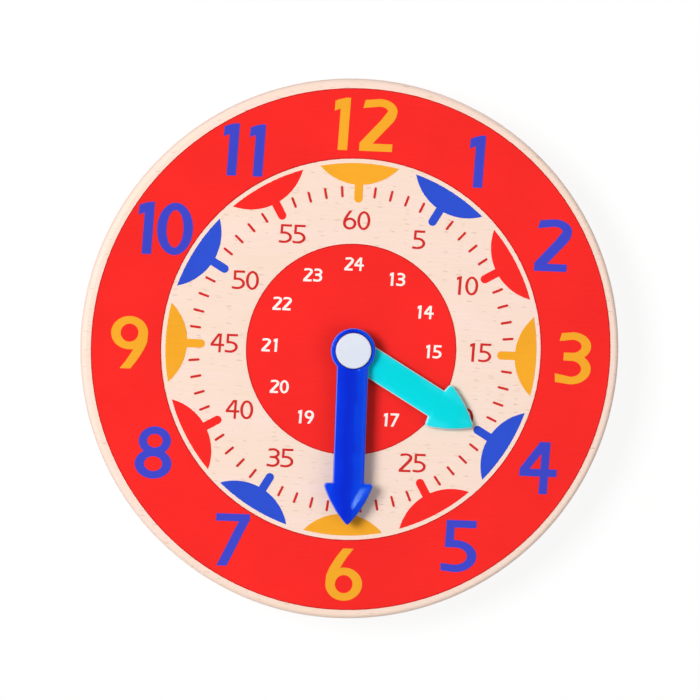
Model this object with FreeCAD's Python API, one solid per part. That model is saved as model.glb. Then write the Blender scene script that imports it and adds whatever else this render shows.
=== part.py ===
"""Geared teaching clock: a round wooden board with printed dials and two coupled hands.

The clock lies on its back, face up. +Z points out of the dial, +Y to 12 o'clock and +X to
3 o'clock. The origin is on the hands' axis, in the plane that the gear case rests on.
All lengths are millimetres and all angles are degrees.
"""
import FreeCAD
import Part
import math
import os

V = FreeCAD.Vector
Z_AXIS = V(0, 0, 1)

# Dial board
board_diameter = 200.0
board_thickness = 9.0
board_edge_round = 1.8

# Printed rings and marks, from the rim inwards
film = 0.1
rim_width = 3.2
hour_band_width = 26.1
sun_gap = 1.6
sun_depth = 8.0
sun_circle_radius = 19.9
sun_stem_width = 3.1
sun_stem_length = 6.6
tick_inset = 10.0
tick_length = 4.2
tick_width = 0.9
minute_numeral_gap = 5.2
disc_gap = 5.1
day_numeral_gap = 6.2

# Numerals: height, weight of upright strokes, weight of level strokes
hour_numeral_height = 19.4
hour_upright = 3.55
hour_level = 2.8
hour_numeral_offset = 12.5
minute_numeral_height = 7.0
minute_upright = 1.0
minute_level = 0.85
day_numeral_height = 4.9
day_upright = 0.9
day_level = 0.75
numeral_lean = 0.03
digit_gap_share = 0.045
gap_beside_one_share = 0.2
gap_in_ten_share = 0.06

# Gear train
gear_module = 0.8
cannon_teeth = 15
idler_wheel_teeth = 45
idler_pinion_teeth = 12
hour_wheel_teeth = 48
pressure_angle = 20.0
tooth_backlash = 0.12
addendum_share = 0.9
dedendum_share = 1.25
first_stage_face = 2.6
second_stage_face = 2.4
stage_gap = 1.0
wheel_window_radius = 3.2
wheel_window_count = 5
idler_hub_radius = 5.8
hour_hub_radius = 6.4

# Shafts, bearings and fits
running_clearance = 0.05
axial_play = 0.1
arbor_radius = 1.5
arbor_flat_depth = 0.4
arbor_collar_radius = 2.4
arbor_collar_thickness = 0.5
stud_radius = 1.25
sleeve_wall = 1.45
sleeve_step = 0.4
hand_slip_clearance = 0.03
bush_wall = 1.95
bush_flange_radius = 8.0
bush_flange_thickness = 1.2
bush_rise = 0.3
spring_washer_thickness = 0.3
spring_washer_width = 3.2

# Gear case on the back
case_wall = 1.6
case_floor = 1.7
case_side_clearance = 1.0
cover_thickness = 1.6
cover_boss_height = 1.0
cover_skin = 0.8
bearing_boss_radius = 3.4
ear_radius = 4.4
ear_thickness = 2.4
ear_reach = 3.4
ear_angle = 45.0
lug_radius = 3.0
lug_reach = 1.9
lug_pitch = 18.0

# Screws
case_screw_radius = 1.2
case_screw_length = 9.0
case_screw_head_radius = 2.4
case_screw_head_height = 1.5
case_screw_clearance = 0.2
cover_screw_radius = 1.0
cover_screw_length = 6.0
cover_screw_head_radius = 1.9
cover_screw_head_height = 1.0
hand_screw_radius = 0.8
hand_screw_length = 5.0
hand_screw_head_radius = 2.2
hand_screw_head_height = 1.2
screw_slot_width = 0.6
screw_point_length = 1.6
pilot_extra_depth = 0.5

# Hands
hour_hand_lift = 1.0
hour_hand_thickness = 3.0
hour_hand_half_width = 5.6
hour_hand_head_start = 37.3
hour_hand_length = 53.4
hour_hand_barb = 9.2
hour_hand_barb_rise = 0.6
hour_hand_angle = 120.0
hands_gap = 0.8
minute_hand_thickness = 3.2
minute_hand_half_width = 5.8
minute_hand_head_start = 49.1
minute_hand_length = 64.5
minute_hand_barb = 9.4
minute_hand_barb_rise = 0.0
minute_hand_angle = 179.3
minute_hand_boss_radius = 8.3
minute_hand_web = 1.4
head_bulge = 1.0
hand_corner_radius = 1.2
hand_nose_radius = 1.0
hand_edge_round = 0.9
spacer_radius = 4.2
cap_radius = 6.6
cap_wall = 1.2
cap_rise = 0.8
cap_edge_round = 0.5
cap_seat_chamfer = 0.35

# Radii of the print, tied to the board from the rim inwards
board_radius = board_diameter / 2
hour_band_outer = board_radius - rim_width
hour_band_inner = hour_band_outer - hour_band_width
sun_outer = hour_band_inner - sun_gap
sun_centre_radius = sun_outer - sun_depth + sun_circle_radius
sun_stem_inner = sun_outer - sun_depth - sun_stem_length
tick_outer = hour_band_inner - tick_inset
tick_inner = tick_outer - tick_length
hour_numeral_radius = hour_band_inner + hour_numeral_offset
minute_numeral_radius = tick_inner - minute_numeral_gap - minute_numeral_height / 2
disc_radius = minute_numeral_radius - minute_numeral_height / 2 - disc_gap
day_numeral_radius = disc_radius - day_numeral_gap - day_numeral_height / 2

# Gear train: both stages share one centre distance, straight down towards 6 o'clock
centre_distance = gear_module * (cannon_teeth + idler_wheel_teeth) / 2
idler_y = -centre_distance
down = -90.0
up = 90.0

# Radii on the hands' axis, each from the one inside it
sleeve_bore = arbor_radius + running_clearance
sleeve_radius = sleeve_bore + sleeve_wall
sleeve_tip_radius = sleeve_radius - sleeve_step
bush_bore = sleeve_radius + running_clearance
bush_radius = bush_bore + bush_wall

# Heights, from the resting plane upwards
cover_top = cover_thickness
first_low = cover_top + cover_boss_height + axial_play
first_top = first_low + first_stage_face
second_low = first_top + stage_gap
second_top = second_low + second_stage_face
spring_low = second_top + running_clearance
spring_top = spring_low + spring_washer_thickness
flange_low = spring_top + running_clearance
case_inner_top = flange_low + bush_flange_thickness
board_back = case_inner_top + case_floor
board_face = board_back + board_thickness
hour_hand_low = board_face + hour_hand_lift
hour_hand_top = hour_hand_low + hour_hand_thickness
minute_hand_low = hour_hand_top + hands_gap
minute_hand_top = minute_hand_low + minute_hand_thickness
recess_floor = minute_hand_low + minute_hand_web
cap_top = minute_hand_top + cap_rise

# Gear case outline: a long hole shape around both wheels
largest_wheel_radius = gear_module * (max(hour_wheel_teeth, idler_wheel_teeth) / 2 + addendum_share)
case_inner_radius = largest_wheel_radius + case_side_clearance
case_outer_radius = case_inner_radius + case_wall

# Which colour each half-sun has, from 12 o'clock clockwise
SUN_COLOURS = ["yellow", "blue", "red"] * 4
# Hours whose numerals are yellow: the quarters
QUARTER_HOURS = (12, 3, 6, 9)

# How far each number stands right of and above its even place, in hundredths of its height
HOUR_NUDGE = {
    12: (7, 1), 1: (10, -3), 2: (7, 0), 3: (-1, 0), 4: (-1, 2), 5: (11, 3),
    6: (7, -2), 7: (3, -1), 8: (2, 3), 9: (3, -3), 10: (5, 2), 11: (-9, 1),
}
MINUTE_NUDGE = {
    60: (-3, 1), 5: (-9, 3), 10: (11, 20), 15: (7, 10), 20: (4, 4), 25: (13, 3),
    30: (0, 3), 35: (-9, 3), 40: (13, 0), 45: (7, 7), 50: (13, 3), 55: (0, 7),
}
DAY_NUDGE = {
    24: (-8, 23), 13: (15, 4), 14: (12, -8), 15: (6, 8), 16: (8, 8), 17: (19, 19),
    18: (4, 15), 19: (-8, 17), 20: (8, 10), 21: (2, 10), 22: (0, 15), 23: (-6, 12),
}


def polar(radius, clock_angle):
    """Point at a radius and at an angle clockwise from 12 o'clock."""
    a = math.radians(clock_angle)
    return radius * math.sin(a), radius * math.cos(a)


def cylinder(radius, low, high, x=0.0, y=0.0):
    return Part.makeCylinder(radius, high - low, V(x, y, low), Z_AXIS)


def tube(outer, inner, low, high, x=0.0, y=0.0):
    return cylinder(outer, low, high, x, y).cut(cylinder(inner, low - 1, high + 1, x, y))


def box(x0, x1, y0, y1, low, high):
    return Part.makeBox(x1 - x0, y1 - y0, high - low, V(x0, y0, low))


def prism(points, low, high):
    """Upright prism on a closed polygon of (x, y) points."""
    corners = [V(x, y, low) for x, y in points]
    return Part.Face(Part.makePolygon(corners + corners[:1])).extrude(V(0, 0, high - low))


def turned(shape, clock_angle, x=0.0, y=0.0):
    """Copy of a shape, turned clockwise about the axis through (x, y)."""
    copy = shape.copy()
    copy.rotate(V(x, y, 0), Z_AXIS, -clock_angle)
    return copy


def moved(shape, x, y, z=0.0):
    copy = shape.copy()
    copy.translate(V(x, y, z))
    return copy


def joined(shapes):
    """One solid from touching or overlapping solids."""
    return shapes[0].multiFuse(shapes[1:]).removeSplitter()


def save(node, shapes):
    """Write one node, a single solid or a group of like solids."""
    shape = shapes if not isinstance(shapes, list) else Part.makeCompound(shapes)
    shape.exportStep("parts/" + node + ".step")
    print(node, len(shape.Solids), "solids, valid", shape.isValid())


def ring_of(shape, count, start=0.0):
    """Evenly turned copies about the hands' axis."""
    return [turned(shape, start + 360.0 * i / count) for i in range(count)]


def involute_point(base_radius, radius, start_angle, side):
    """Point of an involute at a radius; side is +1 or -1 for the two flanks."""
    t = math.sqrt(max((radius / base_radius) ** 2 - 1, 0.0))
    a = start_angle + side * (t - math.atan(t))
    return V(radius * math.cos(a), radius * math.sin(a), 0)


def spur_gear(teeth, face, low, first_tooth_angle):
    """Involute spur gear blank with a tooth centred on first_tooth_angle, counter-clockwise."""
    pitch_radius = gear_module * teeth / 2
    base_radius = pitch_radius * math.cos(math.radians(pressure_angle))
    tip_radius = pitch_radius + gear_module * addendum_share
    root_radius = pitch_radius - gear_module * dedendum_share
    flank_start = max(base_radius, root_radius)
    t = math.tan(math.radians(pressure_angle))
    half_tooth = (math.pi / 2 - tooth_backlash / gear_module) / teeth + t - math.radians(pressure_angle)
    steps = 4
    radii = [flank_start + (tip_radius - flank_start) * i / steps for i in range(steps + 1)]
    edges = []
    ends = []
    for k in range(teeth):
        centre = math.radians(first_tooth_angle) + 2 * math.pi * k / teeth
        rising = [involute_point(base_radius, r, centre - half_tooth, 1) for r in radii]
        falling = [involute_point(base_radius, r, centre + half_tooth, -1) for r in radii]
        tip = V(tip_radius * math.cos(centre), tip_radius * math.sin(centre), 0)
        for flank in (rising, falling):
            curve = Part.BSplineCurve()
            curve.interpolate(flank)
            edges.append(curve.toShape())
        edges.append(Part.Arc(rising[-1], tip, falling[-1]).toShape())
        ends.append((rising[0], falling[0], centre))
    for k in range(teeth):
        leave = ends[k][1]
        arrive = ends[(k + 1) % teeth][0]
        middle = ends[k][2] + math.pi / teeth
        floor_start = leave
        floor_end = arrive
        if root_radius < flank_start:
            floor_start = leave * (root_radius / flank_start)
            floor_end = arrive * (root_radius / flank_start)
            edges.append(Part.makeLine(leave, floor_start))
            edges.append(Part.makeLine(floor_end, arrive))
        floor_middle = V(root_radius * math.cos(middle), root_radius * math.sin(middle), 0)
        edges.append(Part.Arc(floor_start, floor_middle, floor_end).toShape())
    outline = Part.Wire(Part.__sortEdges__(edges))
    blank = Part.Face(outline).extrude(V(0, 0, face))
    return moved(blank, 0, 0, low)


def windows(hub_radius, wheel_teeth, low, high):
    """Round lightening windows, midway between the hub and the toothed rim."""
    rim_radius = gear_module * (wheel_teeth / 2 - dedendum_share) - case_wall
    middle = (hub_radius + rim_radius) / 2
    radius = min(wheel_window_radius, (rim_radius - hub_radius) / 2 - 0.4)
    hole = cylinder(radius, low - 1, high + 1, 0, middle)
    return ring_of(hole, wheel_window_count, 360.0 / wheel_window_count / 2)


def long_hole(radius, low, high):
    """Solid with the case's outline: half rounds about both gear axes, joined by a box."""
    return joined([cylinder(radius, low, high), cylinder(radius, low, high, 0, idler_y),
                   box(-radius, radius, idler_y, 0, low, high)])


def cross_slot(head_radius, low, high, x=0.0, y=0.0):
    """Cross recess of a screw head."""
    half = head_radius * 0.6
    w = screw_slot_width / 2
    return box(x - half, x + half, y - w, y + w, low, high).fuse(
        box(x - w, x + w, y - half, y + half, low, high))


def arrow_hand(half_width, head_start, length, barb, barb_rise, low, thickness, boss_radius):
    """Flat arrow hand pointing to 12 o'clock, with rounded corners and rounded upper edges.

    Each flank of the head is an arc that swells by head_bulge beyond its chord. The flanks
    are drawn to a sharp point, so far out that the rounded nose ends at the hand's length.
    """
    barb_y = head_start + barb_rise
    head_length = length - barb_y
    half_angle = math.atan2(barb, head_length) + 2 * math.atan(2 * head_bulge / math.hypot(barb, head_length))
    point = V(0, length + hand_nose_radius * (1 / math.sin(half_angle) - 1), low)
    right = [V(half_width, 0, low), V(half_width, head_start, low), V(barb, barb_y, low)]
    left = [V(-p.x, p.y, low) for p in right]
    outward = V(point.y - barb_y, barb, 0).normalize()
    flank_middle = (right[2] + point) * 0.5 + outward * head_bulge
    edges = [
        Part.makeLine(right[0], right[1]), Part.makeLine(right[1], right[2]),
        Part.Arc(right[2], flank_middle, point).toShape(),
        Part.Arc(point, V(-flank_middle.x, flank_middle.y, low), left[2]).toShape(),
        Part.makeLine(left[2], left[1]), Part.makeLine(left[1], left[0]),
        Part.makeLine(left[0], right[0]),
    ]
    plate = Part.Face(Part.Wire(edges)).extrude(V(0, 0, thickness))
    hand = joined([plate, cylinder(boss_radius, low, low + thickness)])
    nose = [e for e in hand.Edges if is_upright(e) and e.BoundBox.YMin > length]
    hand = hand.makeFillet(hand_nose_radius, nose)
    corners = [e for e in hand.Edges if is_upright(e) and abs(e.BoundBox.XMin) > barb - 0.01]
    hand = hand.makeFillet(hand_corner_radius, corners)
    rim = [e for e in hand.Edges if e.BoundBox.ZMin > low + thickness - 0.01]
    return hand.makeFillet(hand_edge_round, rim)


def is_upright(edge):
    b = edge.BoundBox
    return b.XLength < 0.01 and b.YLength < 0.01


class Pen:
    """Draws the digits 0 to 9 in one height and weight, as flat solids of the film's thickness.

    Shapes are given in shares of the digit's height, with the lower left corner of the digit
    at the origin. Level strokes weigh `level`, upright ones `upright`, and every point leans
    to the right by `numeral_lean` of its height.
    """

    def __init__(self, height, upright, level, low):
        self.height = height
        self.u = upright / height
        self.l = level / height
        self.low = low
        self.cache = {}

    def at(self, x, y):
        return (x + numeral_lean * y) * self.height, y * self.height

    def shape(self, points):
        return prism([self.at(x, y) for x, y in points], self.low, self.low + film)

    def bar(self, x0, x1, y0, y1):
        return self.shape([(x0, y0), (x1, y0), (x1, y1), (x0, y1)])

    def oval(self, x, y, a, b):
        """Upright elliptical disc."""
        px, py = self.at(x, y)
        a, b = a * self.height, b * self.height
        if a >= b:
            curve = Part.Ellipse(V(px + a, py, self.low), V(px, py + b, self.low), V(px, py, self.low))
        else:
            curve = Part.Ellipse(V(px, py + b, self.low), V(px - a, py, self.low), V(px, py, self.low))
        return Part.Face(Part.Wire(curve.toShape())).extrude(V(0, 0, film))

    def ring(self, x, y, a, b, upright, level):
        """Elliptical band, heavy at its sides and light at its top and bottom."""
        return self.oval(x, y, a, b).cut(self.oval(x, y, a - upright, b - level))

    def bowl(self, x, y, a, b):
        """Right half of an elliptical band."""
        half = self.bar(x, x + 1, y - 1, y + 1)
        return self.ring(x, y, a, b, self.u, self.l).common(half)

    def strokes(self, digit):
        """The touching pieces that make up one digit."""
        u, l = self.u, self.l
        if digit == "0":
            return [self.ring(0.345, 0.5, 0.345, 0.5, u, l)]
        if digit == "1":
            reach, right = 0.11, 0.11 + u
            flag = [(0, 0.93 - 1.3 * l), (reach, 1 - 1.45 * l), (reach + 0.5 * u, 1 - 1.45 * l),
                    (reach + 0.5 * u, 1), (reach + 0.2 * u, 0.985), (0.05, 0.955), (0, 0.93)]
            return [self.bar(reach, right, 0, 1 - 1.45 * l), self.shape(flag),
                    self.bar(reach + 0.5 * u, right, 1 - 1.45 * l, 1)]
        if digit == "2":
            slope = [(0, 0), (0, l + 0.01), (0.6 - 1.2 * u, 0.6), (0.68 - u, 0.765), (0.68, 0.765),
                     (0.664, 0.66), (0.61, 0.565), (1.25 * u + 0.02, l), (0.63, l), (0.63, 0)]
            top = [(0.335, 1 - l), (0.335, 1), (0.055, 0.972), (0.02, 0.972 - 1.08 * l)]
            upper = self.bowl(0.335, 0.765, 0.345, 0.235).common(self.bar(0, 1, 0.765, 1.1))
            return [self.shape(slope), upper, self.shape(top)]
        if digit == "3":
            top = [(0.303, 1 - l), (0.303, 1), (0.08, 0.972), (0.05, 0.972 - 1.05 * l)]
            foot = [(0.303, 0), (0.303, l), (0.005, 0.035 + 1.15 * l), (0.02, 0.035)]
            return [self.bowl(0.303, 0.73, 0.36, 0.27), self.bowl(0.303, 0.298, 0.385, 0.298),
                    self.bar(0.15, 0.303, 0.596 - l, 0.46 + l), self.shape(top), self.shape(foot)]
        if digit == "4":
            base = 0.335
            top = min(0.36 + 1.06 * u, 0.56)
            slope = [(0, base + l), (0.36, 1), (top, 1), (1.06 * u, base + l)]
            return [self.bar(0.56 - 0.88 * u, 0.56, 0, 1), self.bar(0, 0.72, base, base + l),
                    self.shape(slope)]
        if digit == "5":
            foot = [(0.27, 0), (0.27, l), (0.005, 0.03 + 0.98 * l), (0.01, 0.03)]
            return [self.bar(0.06, 0.64, 1 - l, 1), self.bar(0.06, 0.06 + 0.9 * u, 0.619 - l, 1),
                    self.bar(0.06, 0.27, 0.619 - l, 0.619), self.bowl(0.27, 0.311, 0.414, 0.308),
                    self.shape(foot)]
        if digit in "69":
            left = [(0.0, 0.317), (0.003, 0.475), (0.05, 0.613), (0.112, 0.732), (0.19, 0.861), (0.29, 1)]
            right = [(x + 1.1 * u, y) for x, y in reversed(left[1:])]
            return [self.ring(0.353, 0.317, 0.353, 0.317, u, l), self.shape(left + right + [(u, 0.317)])]
        if digit == "7":
            slope = [(0.075, 0), (0.075 + 1.07 * u, 0), (0.648, 0.89), (0.65, 1 - l), (0.65, 1), (0.3, 1),
                     (0.3, 1 - l), (0.65 - 1.15 * u, 1 - l)]
            return [self.shape(slope), self.bar(0, 0.5, 1 - l, 1)]
        return [self.ring(0.352, 0.286, 0.352, 0.286, 0.98 * u, l),
                self.ring(0.352, 0.726, 0.309, 0.274, 0.88 * u, l)]

    def digit(self, digit):
        """One digit as a solid; a nine is a six turned half round."""
        if digit not in self.cache:
            shape = joined(self.strokes(digit))
            if digit == "9":
                b = shape.BoundBox
                shape = turned(shape, 180.0, b.XMin + b.XLength / 2, b.YMin + b.YLength / 2)
            self.cache[digit] = shape
        return self.cache[digit]

    def number(self, value, radius, clock_angle, nudge):
        """All digits of a number, centred at a radius and a clock angle, then nudged."""
        x, y = polar(radius, clock_angle)
        x += nudge[0] * self.height / 100
        y += nudge[1] * self.height / 100
        text = str(value)
        solids = []
        right = 0.0
        for i, digit in enumerate(text):
            solid = self.digit(digit)
            if i:
                right += self.height * self.gap_share(text)
            solid = moved(solid, right - solid.BoundBox.XMin, 0)
            right = solid.BoundBox.XMax
            solids.append(solid)
        return [moved(s, x - right / 2, y - self.height / 2) for s in solids]

    def gap_share(self, text):
        """Space between two digits: an upright one needs more room, except in the large ten."""
        if text == "10" and self.height == hour_numeral_height:
            return gap_in_ten_share
        return gap_beside_one_share if "1" in text else digit_gap_share


def make_board():
    board = cylinder(board_radius, board_back, board_face)
    board = board.makeFillet(board_edge_round, [e for e in board.Edges if e.Length > board_radius])
    board = board.cut(cylinder(bush_radius, board_back - 1, board_face + 1))
    for x, y in ear_places():
        depth = case_screw_length - ear_thickness + pilot_extra_depth
        board = board.cut(cylinder(case_screw_radius, board_back - 1, board_back + depth, x, y))
    save("dial_board", board)


def make_print():
    low = board_face
    save("hour_band_print", tube(hour_band_outer, hour_band_inner, low, low + film))
    save("centre_disc_print", tube(disc_radius, bush_radius + running_clearance, low, low + film))

    sun = cylinder(sun_circle_radius, low, low + film, 0, sun_centre_radius).common(
        cylinder(sun_outer, low, low + film))
    half = sun_stem_width / 2
    stem = box(-half, half, sun_stem_inner + half, sun_outer - sun_depth + half, low, low + film)
    sun = joined([sun, stem, cylinder(half, low, low + film, 0, sun_stem_inner + half)])
    for colour in ("red", "blue", "yellow"):
        suns = [turned(sun, 30.0 * i) for i in range(12) if SUN_COLOURS[i] == colour]
        save("half_suns_" + colour + "_print", suns)

    half = tick_width / 2
    tick = joined([box(-half, half, tick_inner + half, tick_outer - half, low, low + film),
                   cylinder(half, low, low + film, 0, tick_inner + half),
                   cylinder(half, low, low + film, 0, tick_outer - half)])
    save("minute_ticks_print", [turned(tick, 6.0 * i) for i in range(60) if i % 5])

    pen = Pen(hour_numeral_height, hour_upright, hour_level, low + film)
    quarters = []
    others = []
    for hour in range(1, 13):
        group = quarters if hour in QUARTER_HOURS else others
        group += pen.number(hour, hour_numeral_radius, 30.0 * hour, HOUR_NUDGE[hour])
    save("hour_numerals_yellow_print", quarters)
    save("hour_numerals_blue_print", others)

    pen = Pen(minute_numeral_height, minute_upright, minute_level, low)
    numerals = []
    for minute in range(5, 65, 5):
        numerals += pen.number(minute, minute_numeral_radius, 6.0 * minute, MINUTE_NUDGE[minute])
    save("minute_numerals_print", numerals)

    pen = Pen(day_numeral_height, day_upright, day_level, low + film)
    numerals = []
    for hour in range(13, 25):
        numerals += pen.number(hour, day_numeral_radius, 30.0 * hour, DAY_NUDGE[hour])
    save("day_hour_numerals_print", numerals)


def ear_places():
    """Screw ears of the case: two beyond each rounded end."""
    reach = case_outer_radius + ear_reach
    a = math.radians(ear_angle)
    x, y = reach * math.sin(a), reach * math.cos(a)
    return [(x, y), (-x, y), (-x, idler_y - y), (x, idler_y - y)]


def lug_places():
    """Cover screw lugs: two on each straight side of the case."""
    x = case_outer_radius + lug_reach
    middle = idler_y / 2
    return [(sx * x, middle + sy * lug_pitch / 2) for sx in (1, -1) for sy in (1, -1)]


def make_case():
    ear_low = board_back - ear_thickness
    pieces = [long_hole(case_outer_radius, cover_top, board_back)]
    for x, y in ear_places():
        pieces.append(cylinder(ear_radius, ear_low, board_back, x, y))
        end_y = 0 if y > 0 else idler_y
        bridge = box(-ear_radius, ear_radius, 0, math.hypot(x, y - end_y), ear_low, board_back)
        clock_angle = math.degrees(math.atan2(x, y - end_y))
        pieces.append(moved(turned(bridge, clock_angle), 0, end_y))
    for x, y in lug_places():
        inner = math.copysign(case_inner_radius, x)
        pieces.append(cylinder(lug_radius, cover_top, board_back, x, y))
        pieces.append(box(min(x, inner), max(x, inner), y - lug_radius, y + lug_radius, cover_top, board_back))
    case = joined(pieces)
    case = case.cut(long_hole(case_inner_radius, cover_top - 1, case_inner_top))
    stud_boss = cylinder(bearing_boss_radius, second_top + axial_play, case_inner_top, 0, idler_y)
    case = joined([case, stud_boss])
    case = case.cut(cylinder(bush_radius, case_inner_top - 1, board_back + 1))
    case = case.cut(cylinder(stud_radius, second_top, stud_end(), 0, idler_y))
    for x, y in ear_places():
        case = case.cut(cylinder(case_screw_radius + case_screw_clearance, ear_low - 1, board_back + 1, x, y))
    for x, y in lug_places():
        depth = cover_screw_length + pilot_extra_depth
        case = case.cut(cylinder(cover_screw_radius, cover_top - 1, depth, x, y))
    save("gear_case", case)


def stud_end():
    """Front end of the idler stud, inside the case floor."""
    return board_back - case_floor / 2


def make_cover():
    pieces = [long_hole(case_outer_radius, 0, cover_top)]
    for x, y in lug_places():
        inner = math.copysign(case_inner_radius, x)
        pieces.append(cylinder(lug_radius, 0, cover_top, x, y))
        pieces.append(box(min(x, inner), max(x, inner), y - lug_radius, y + lug_radius, 0, cover_top))
    for y in (0, idler_y):
        pieces.append(cylinder(bearing_boss_radius, cover_top, cover_top + cover_boss_height, 0, y))
    cover = joined(pieces)
    top = cover_top + cover_boss_height + 1
    cover = cover.cut(cylinder(sleeve_bore, cover_skin, top))
    cover = cover.cut(cylinder(stud_radius, cover_skin, top, 0, idler_y))
    for x, y in lug_places():
        cover = cover.cut(cylinder(cover_screw_radius, -1, cover_top + 1, x, y))
        cover = cover.cut(screw_cone(x, y))
    save("rear_cover", cover)


def screw_cone(x, y):
    """Countersunk head of a cover screw, flush with the resting plane."""
    return Part.makeCone(cover_screw_head_radius, cover_screw_radius, cover_screw_head_height,
                         V(x, y, 0), Z_AXIS)


def make_fasteners():
    screws = []
    for x, y in ear_places():
        seat = board_back - ear_thickness
        tip = seat + case_screw_length
        head = cylinder(case_screw_head_radius, seat - case_screw_head_height, seat, x, y)
        rim = [e for e in head.Edges if e.BoundBox.ZMax < seat - case_screw_head_height + 0.01]
        head = head.makeFillet(case_screw_head_height * 0.6, rim)
        shank = cylinder(case_screw_radius, seat, tip - screw_point_length, x, y)
        point = Part.makeCone(case_screw_radius, 0, screw_point_length,
                              V(x, y, tip - screw_point_length), Z_AXIS)
        screw = joined([head, shank, point])
        slot = cross_slot(case_screw_head_radius, seat - case_screw_head_height - 1,
                          seat - case_screw_head_height / 2, x, y)
        screws.append(screw.cut(slot))
    save("case_screws", screws)

    screws = []
    for x, y in lug_places():
        shank = cylinder(cover_screw_radius, 0, cover_screw_length, x, y)
        slot = cross_slot(cover_screw_head_radius, -1, cover_screw_head_height / 2, x, y)
        screws.append(joined([screw_cone(x, y), shank]).cut(slot))
    save("cover_screws", screws)

    top = recess_floor + hand_screw_head_height
    head = cylinder(hand_screw_head_radius, recess_floor, top)
    shank = cylinder(hand_screw_radius, recess_floor - hand_screw_length, recess_floor)
    slot = cross_slot(hand_screw_head_radius, top - hand_screw_head_height / 2, top + 1)
    save("hand_screw", joined([head, shank]).cut(slot))


def make_bush_and_washers():
    bush = joined([tube(bush_flange_radius, bush_bore, flange_low, case_inner_top),
                   tube(bush_radius, bush_bore, case_inner_top, board_face + bush_rise)])
    save("dial_bush", bush)
    save("spring_washer", tube(bush_bore + spring_washer_width, bush_bore, spring_low, spring_top))
    save("hand_spacer", tube(spacer_radius, arbor_radius, hour_hand_top + running_clearance, minute_hand_low))


def arbor_flat(low, high):
    """Flat side of the arbor's front end."""
    r = arbor_radius + 1
    return box(-r, r, arbor_radius - arbor_flat_depth, r, low, high)


def make_gears():
    arbor = cylinder(arbor_radius, cover_skin + axial_play, recess_floor - axial_play)
    collar = cylinder(arbor_collar_radius, first_top, first_top + arbor_collar_thickness)
    flat = turned(arbor_flat(minute_hand_low, recess_floor), minute_hand_angle)
    arbor = joined([arbor, collar]).cut(flat)
    screw_end = recess_floor - hand_screw_length - pilot_extra_depth
    save("minute_arbor", arbor.cut(cylinder(hand_screw_radius, screw_end, recess_floor)))

    pinion = spur_gear(cannon_teeth, first_stage_face, first_low, down)
    save("cannon_pinion", pinion.cut(cylinder(arbor_radius, first_low - 1, first_top + 1)))

    wheel = spur_gear(idler_wheel_teeth, first_stage_face, first_low, up + 180.0 / idler_wheel_teeth)
    for hole in windows(idler_hub_radius, idler_wheel_teeth, first_low, first_top):
        wheel = wheel.cut(hole)
    pinion_face = second_top - first_top
    pinion = spur_gear(idler_pinion_teeth, pinion_face, first_top, up + 180.0 / idler_pinion_teeth)
    idler = joined([wheel, pinion]).cut(cylinder(stud_radius + running_clearance, first_low - 1, second_top + 1))
    save("idler_gear", moved(idler, 0, idler_y))
    save("idler_stud", cylinder(stud_radius, cover_skin, stud_end(), 0, idler_y))

    wheel = spur_gear(hour_wheel_teeth, second_stage_face, second_low, down)
    for hole in windows(hour_hub_radius, hour_wheel_teeth, second_low, second_top):
        wheel = wheel.cut(hole)
    sleeve = cylinder(sleeve_radius, second_top, hour_hand_low - axial_play)
    tip = cylinder(sleeve_tip_radius, hour_hand_low - axial_play, hour_hand_top)
    wheel = joined([wheel, sleeve, tip])
    save("hour_wheel", wheel.cut(cylinder(sleeve_bore, second_low - 1, hour_hand_top + 1)))


def make_hands():
    hand = arrow_hand(hour_hand_half_width, hour_hand_head_start, hour_hand_length, hour_hand_barb,
                      hour_hand_barb_rise, hour_hand_low, hour_hand_thickness, hour_hand_half_width)
    bore = cylinder(sleeve_tip_radius + hand_slip_clearance, hour_hand_low - 1, hour_hand_top + 1)
    save("hour_hand", turned(hand.cut(bore), hour_hand_angle))

    hand = arrow_hand(minute_hand_half_width, minute_hand_head_start, minute_hand_length, minute_hand_barb,
                      minute_hand_barb_rise, minute_hand_low, minute_hand_thickness, minute_hand_boss_radius)
    bore = cylinder(arbor_radius, minute_hand_low - 1, recess_floor + 1)
    bore = bore.cut(arbor_flat(minute_hand_low - 2, recess_floor + 2))
    seat = cylinder(cap_radius, recess_floor, minute_hand_top + 1)
    mouth = Part.makeCone(cap_radius, cap_radius + cap_seat_chamfer, 2 * cap_seat_chamfer,
                          V(0, 0, minute_hand_top - 2 * cap_seat_chamfer), Z_AXIS)
    hand = hand.cut(bore).cut(seat).cut(mouth)
    save("minute_hand", turned(hand, minute_hand_angle))

    cap = cylinder(cap_radius, recess_floor, cap_top)
    cap = cap.makeFillet(cap_edge_round, [e for e in cap.Edges if e.BoundBox.ZMin > cap_top - 0.01])
    hollow = cylinder(cap_radius - cap_wall, recess_floor - 1, cap_top - cap_wall)
    save("centre_cap", cap.cut(hollow))


def main():
    os.makedirs("parts", exist_ok=True)
    make_board()
    make_print()
    make_case()
    make_cover()
    make_fasteners()
    make_bush_and_washers()
    make_gears()
    make_hands()


main()
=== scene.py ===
"""Looks of the geared teaching clock, dressed around its packed construction model.

The clock lies on its back: +Z points out of the dial, +Y to 12 o'clock, +X to 3 o'clock.
Meshes are in metres, and sizes in the classes are in millimetres unless they say otherwise.
The hands, the cap and the board are surfaces worked out with numpy, the printed films keep
their own shapes, and case, screws and gears are the frame's solids with softened edges.
"""

import logging
import math
from abc import ABC, abstractmethod
from dataclasses import dataclass, field, replace
from enum import Enum
from typing import Any, ClassVar

import bmesh
import bpy
import numpy as np
from mathutils import Matrix, Vector


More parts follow.
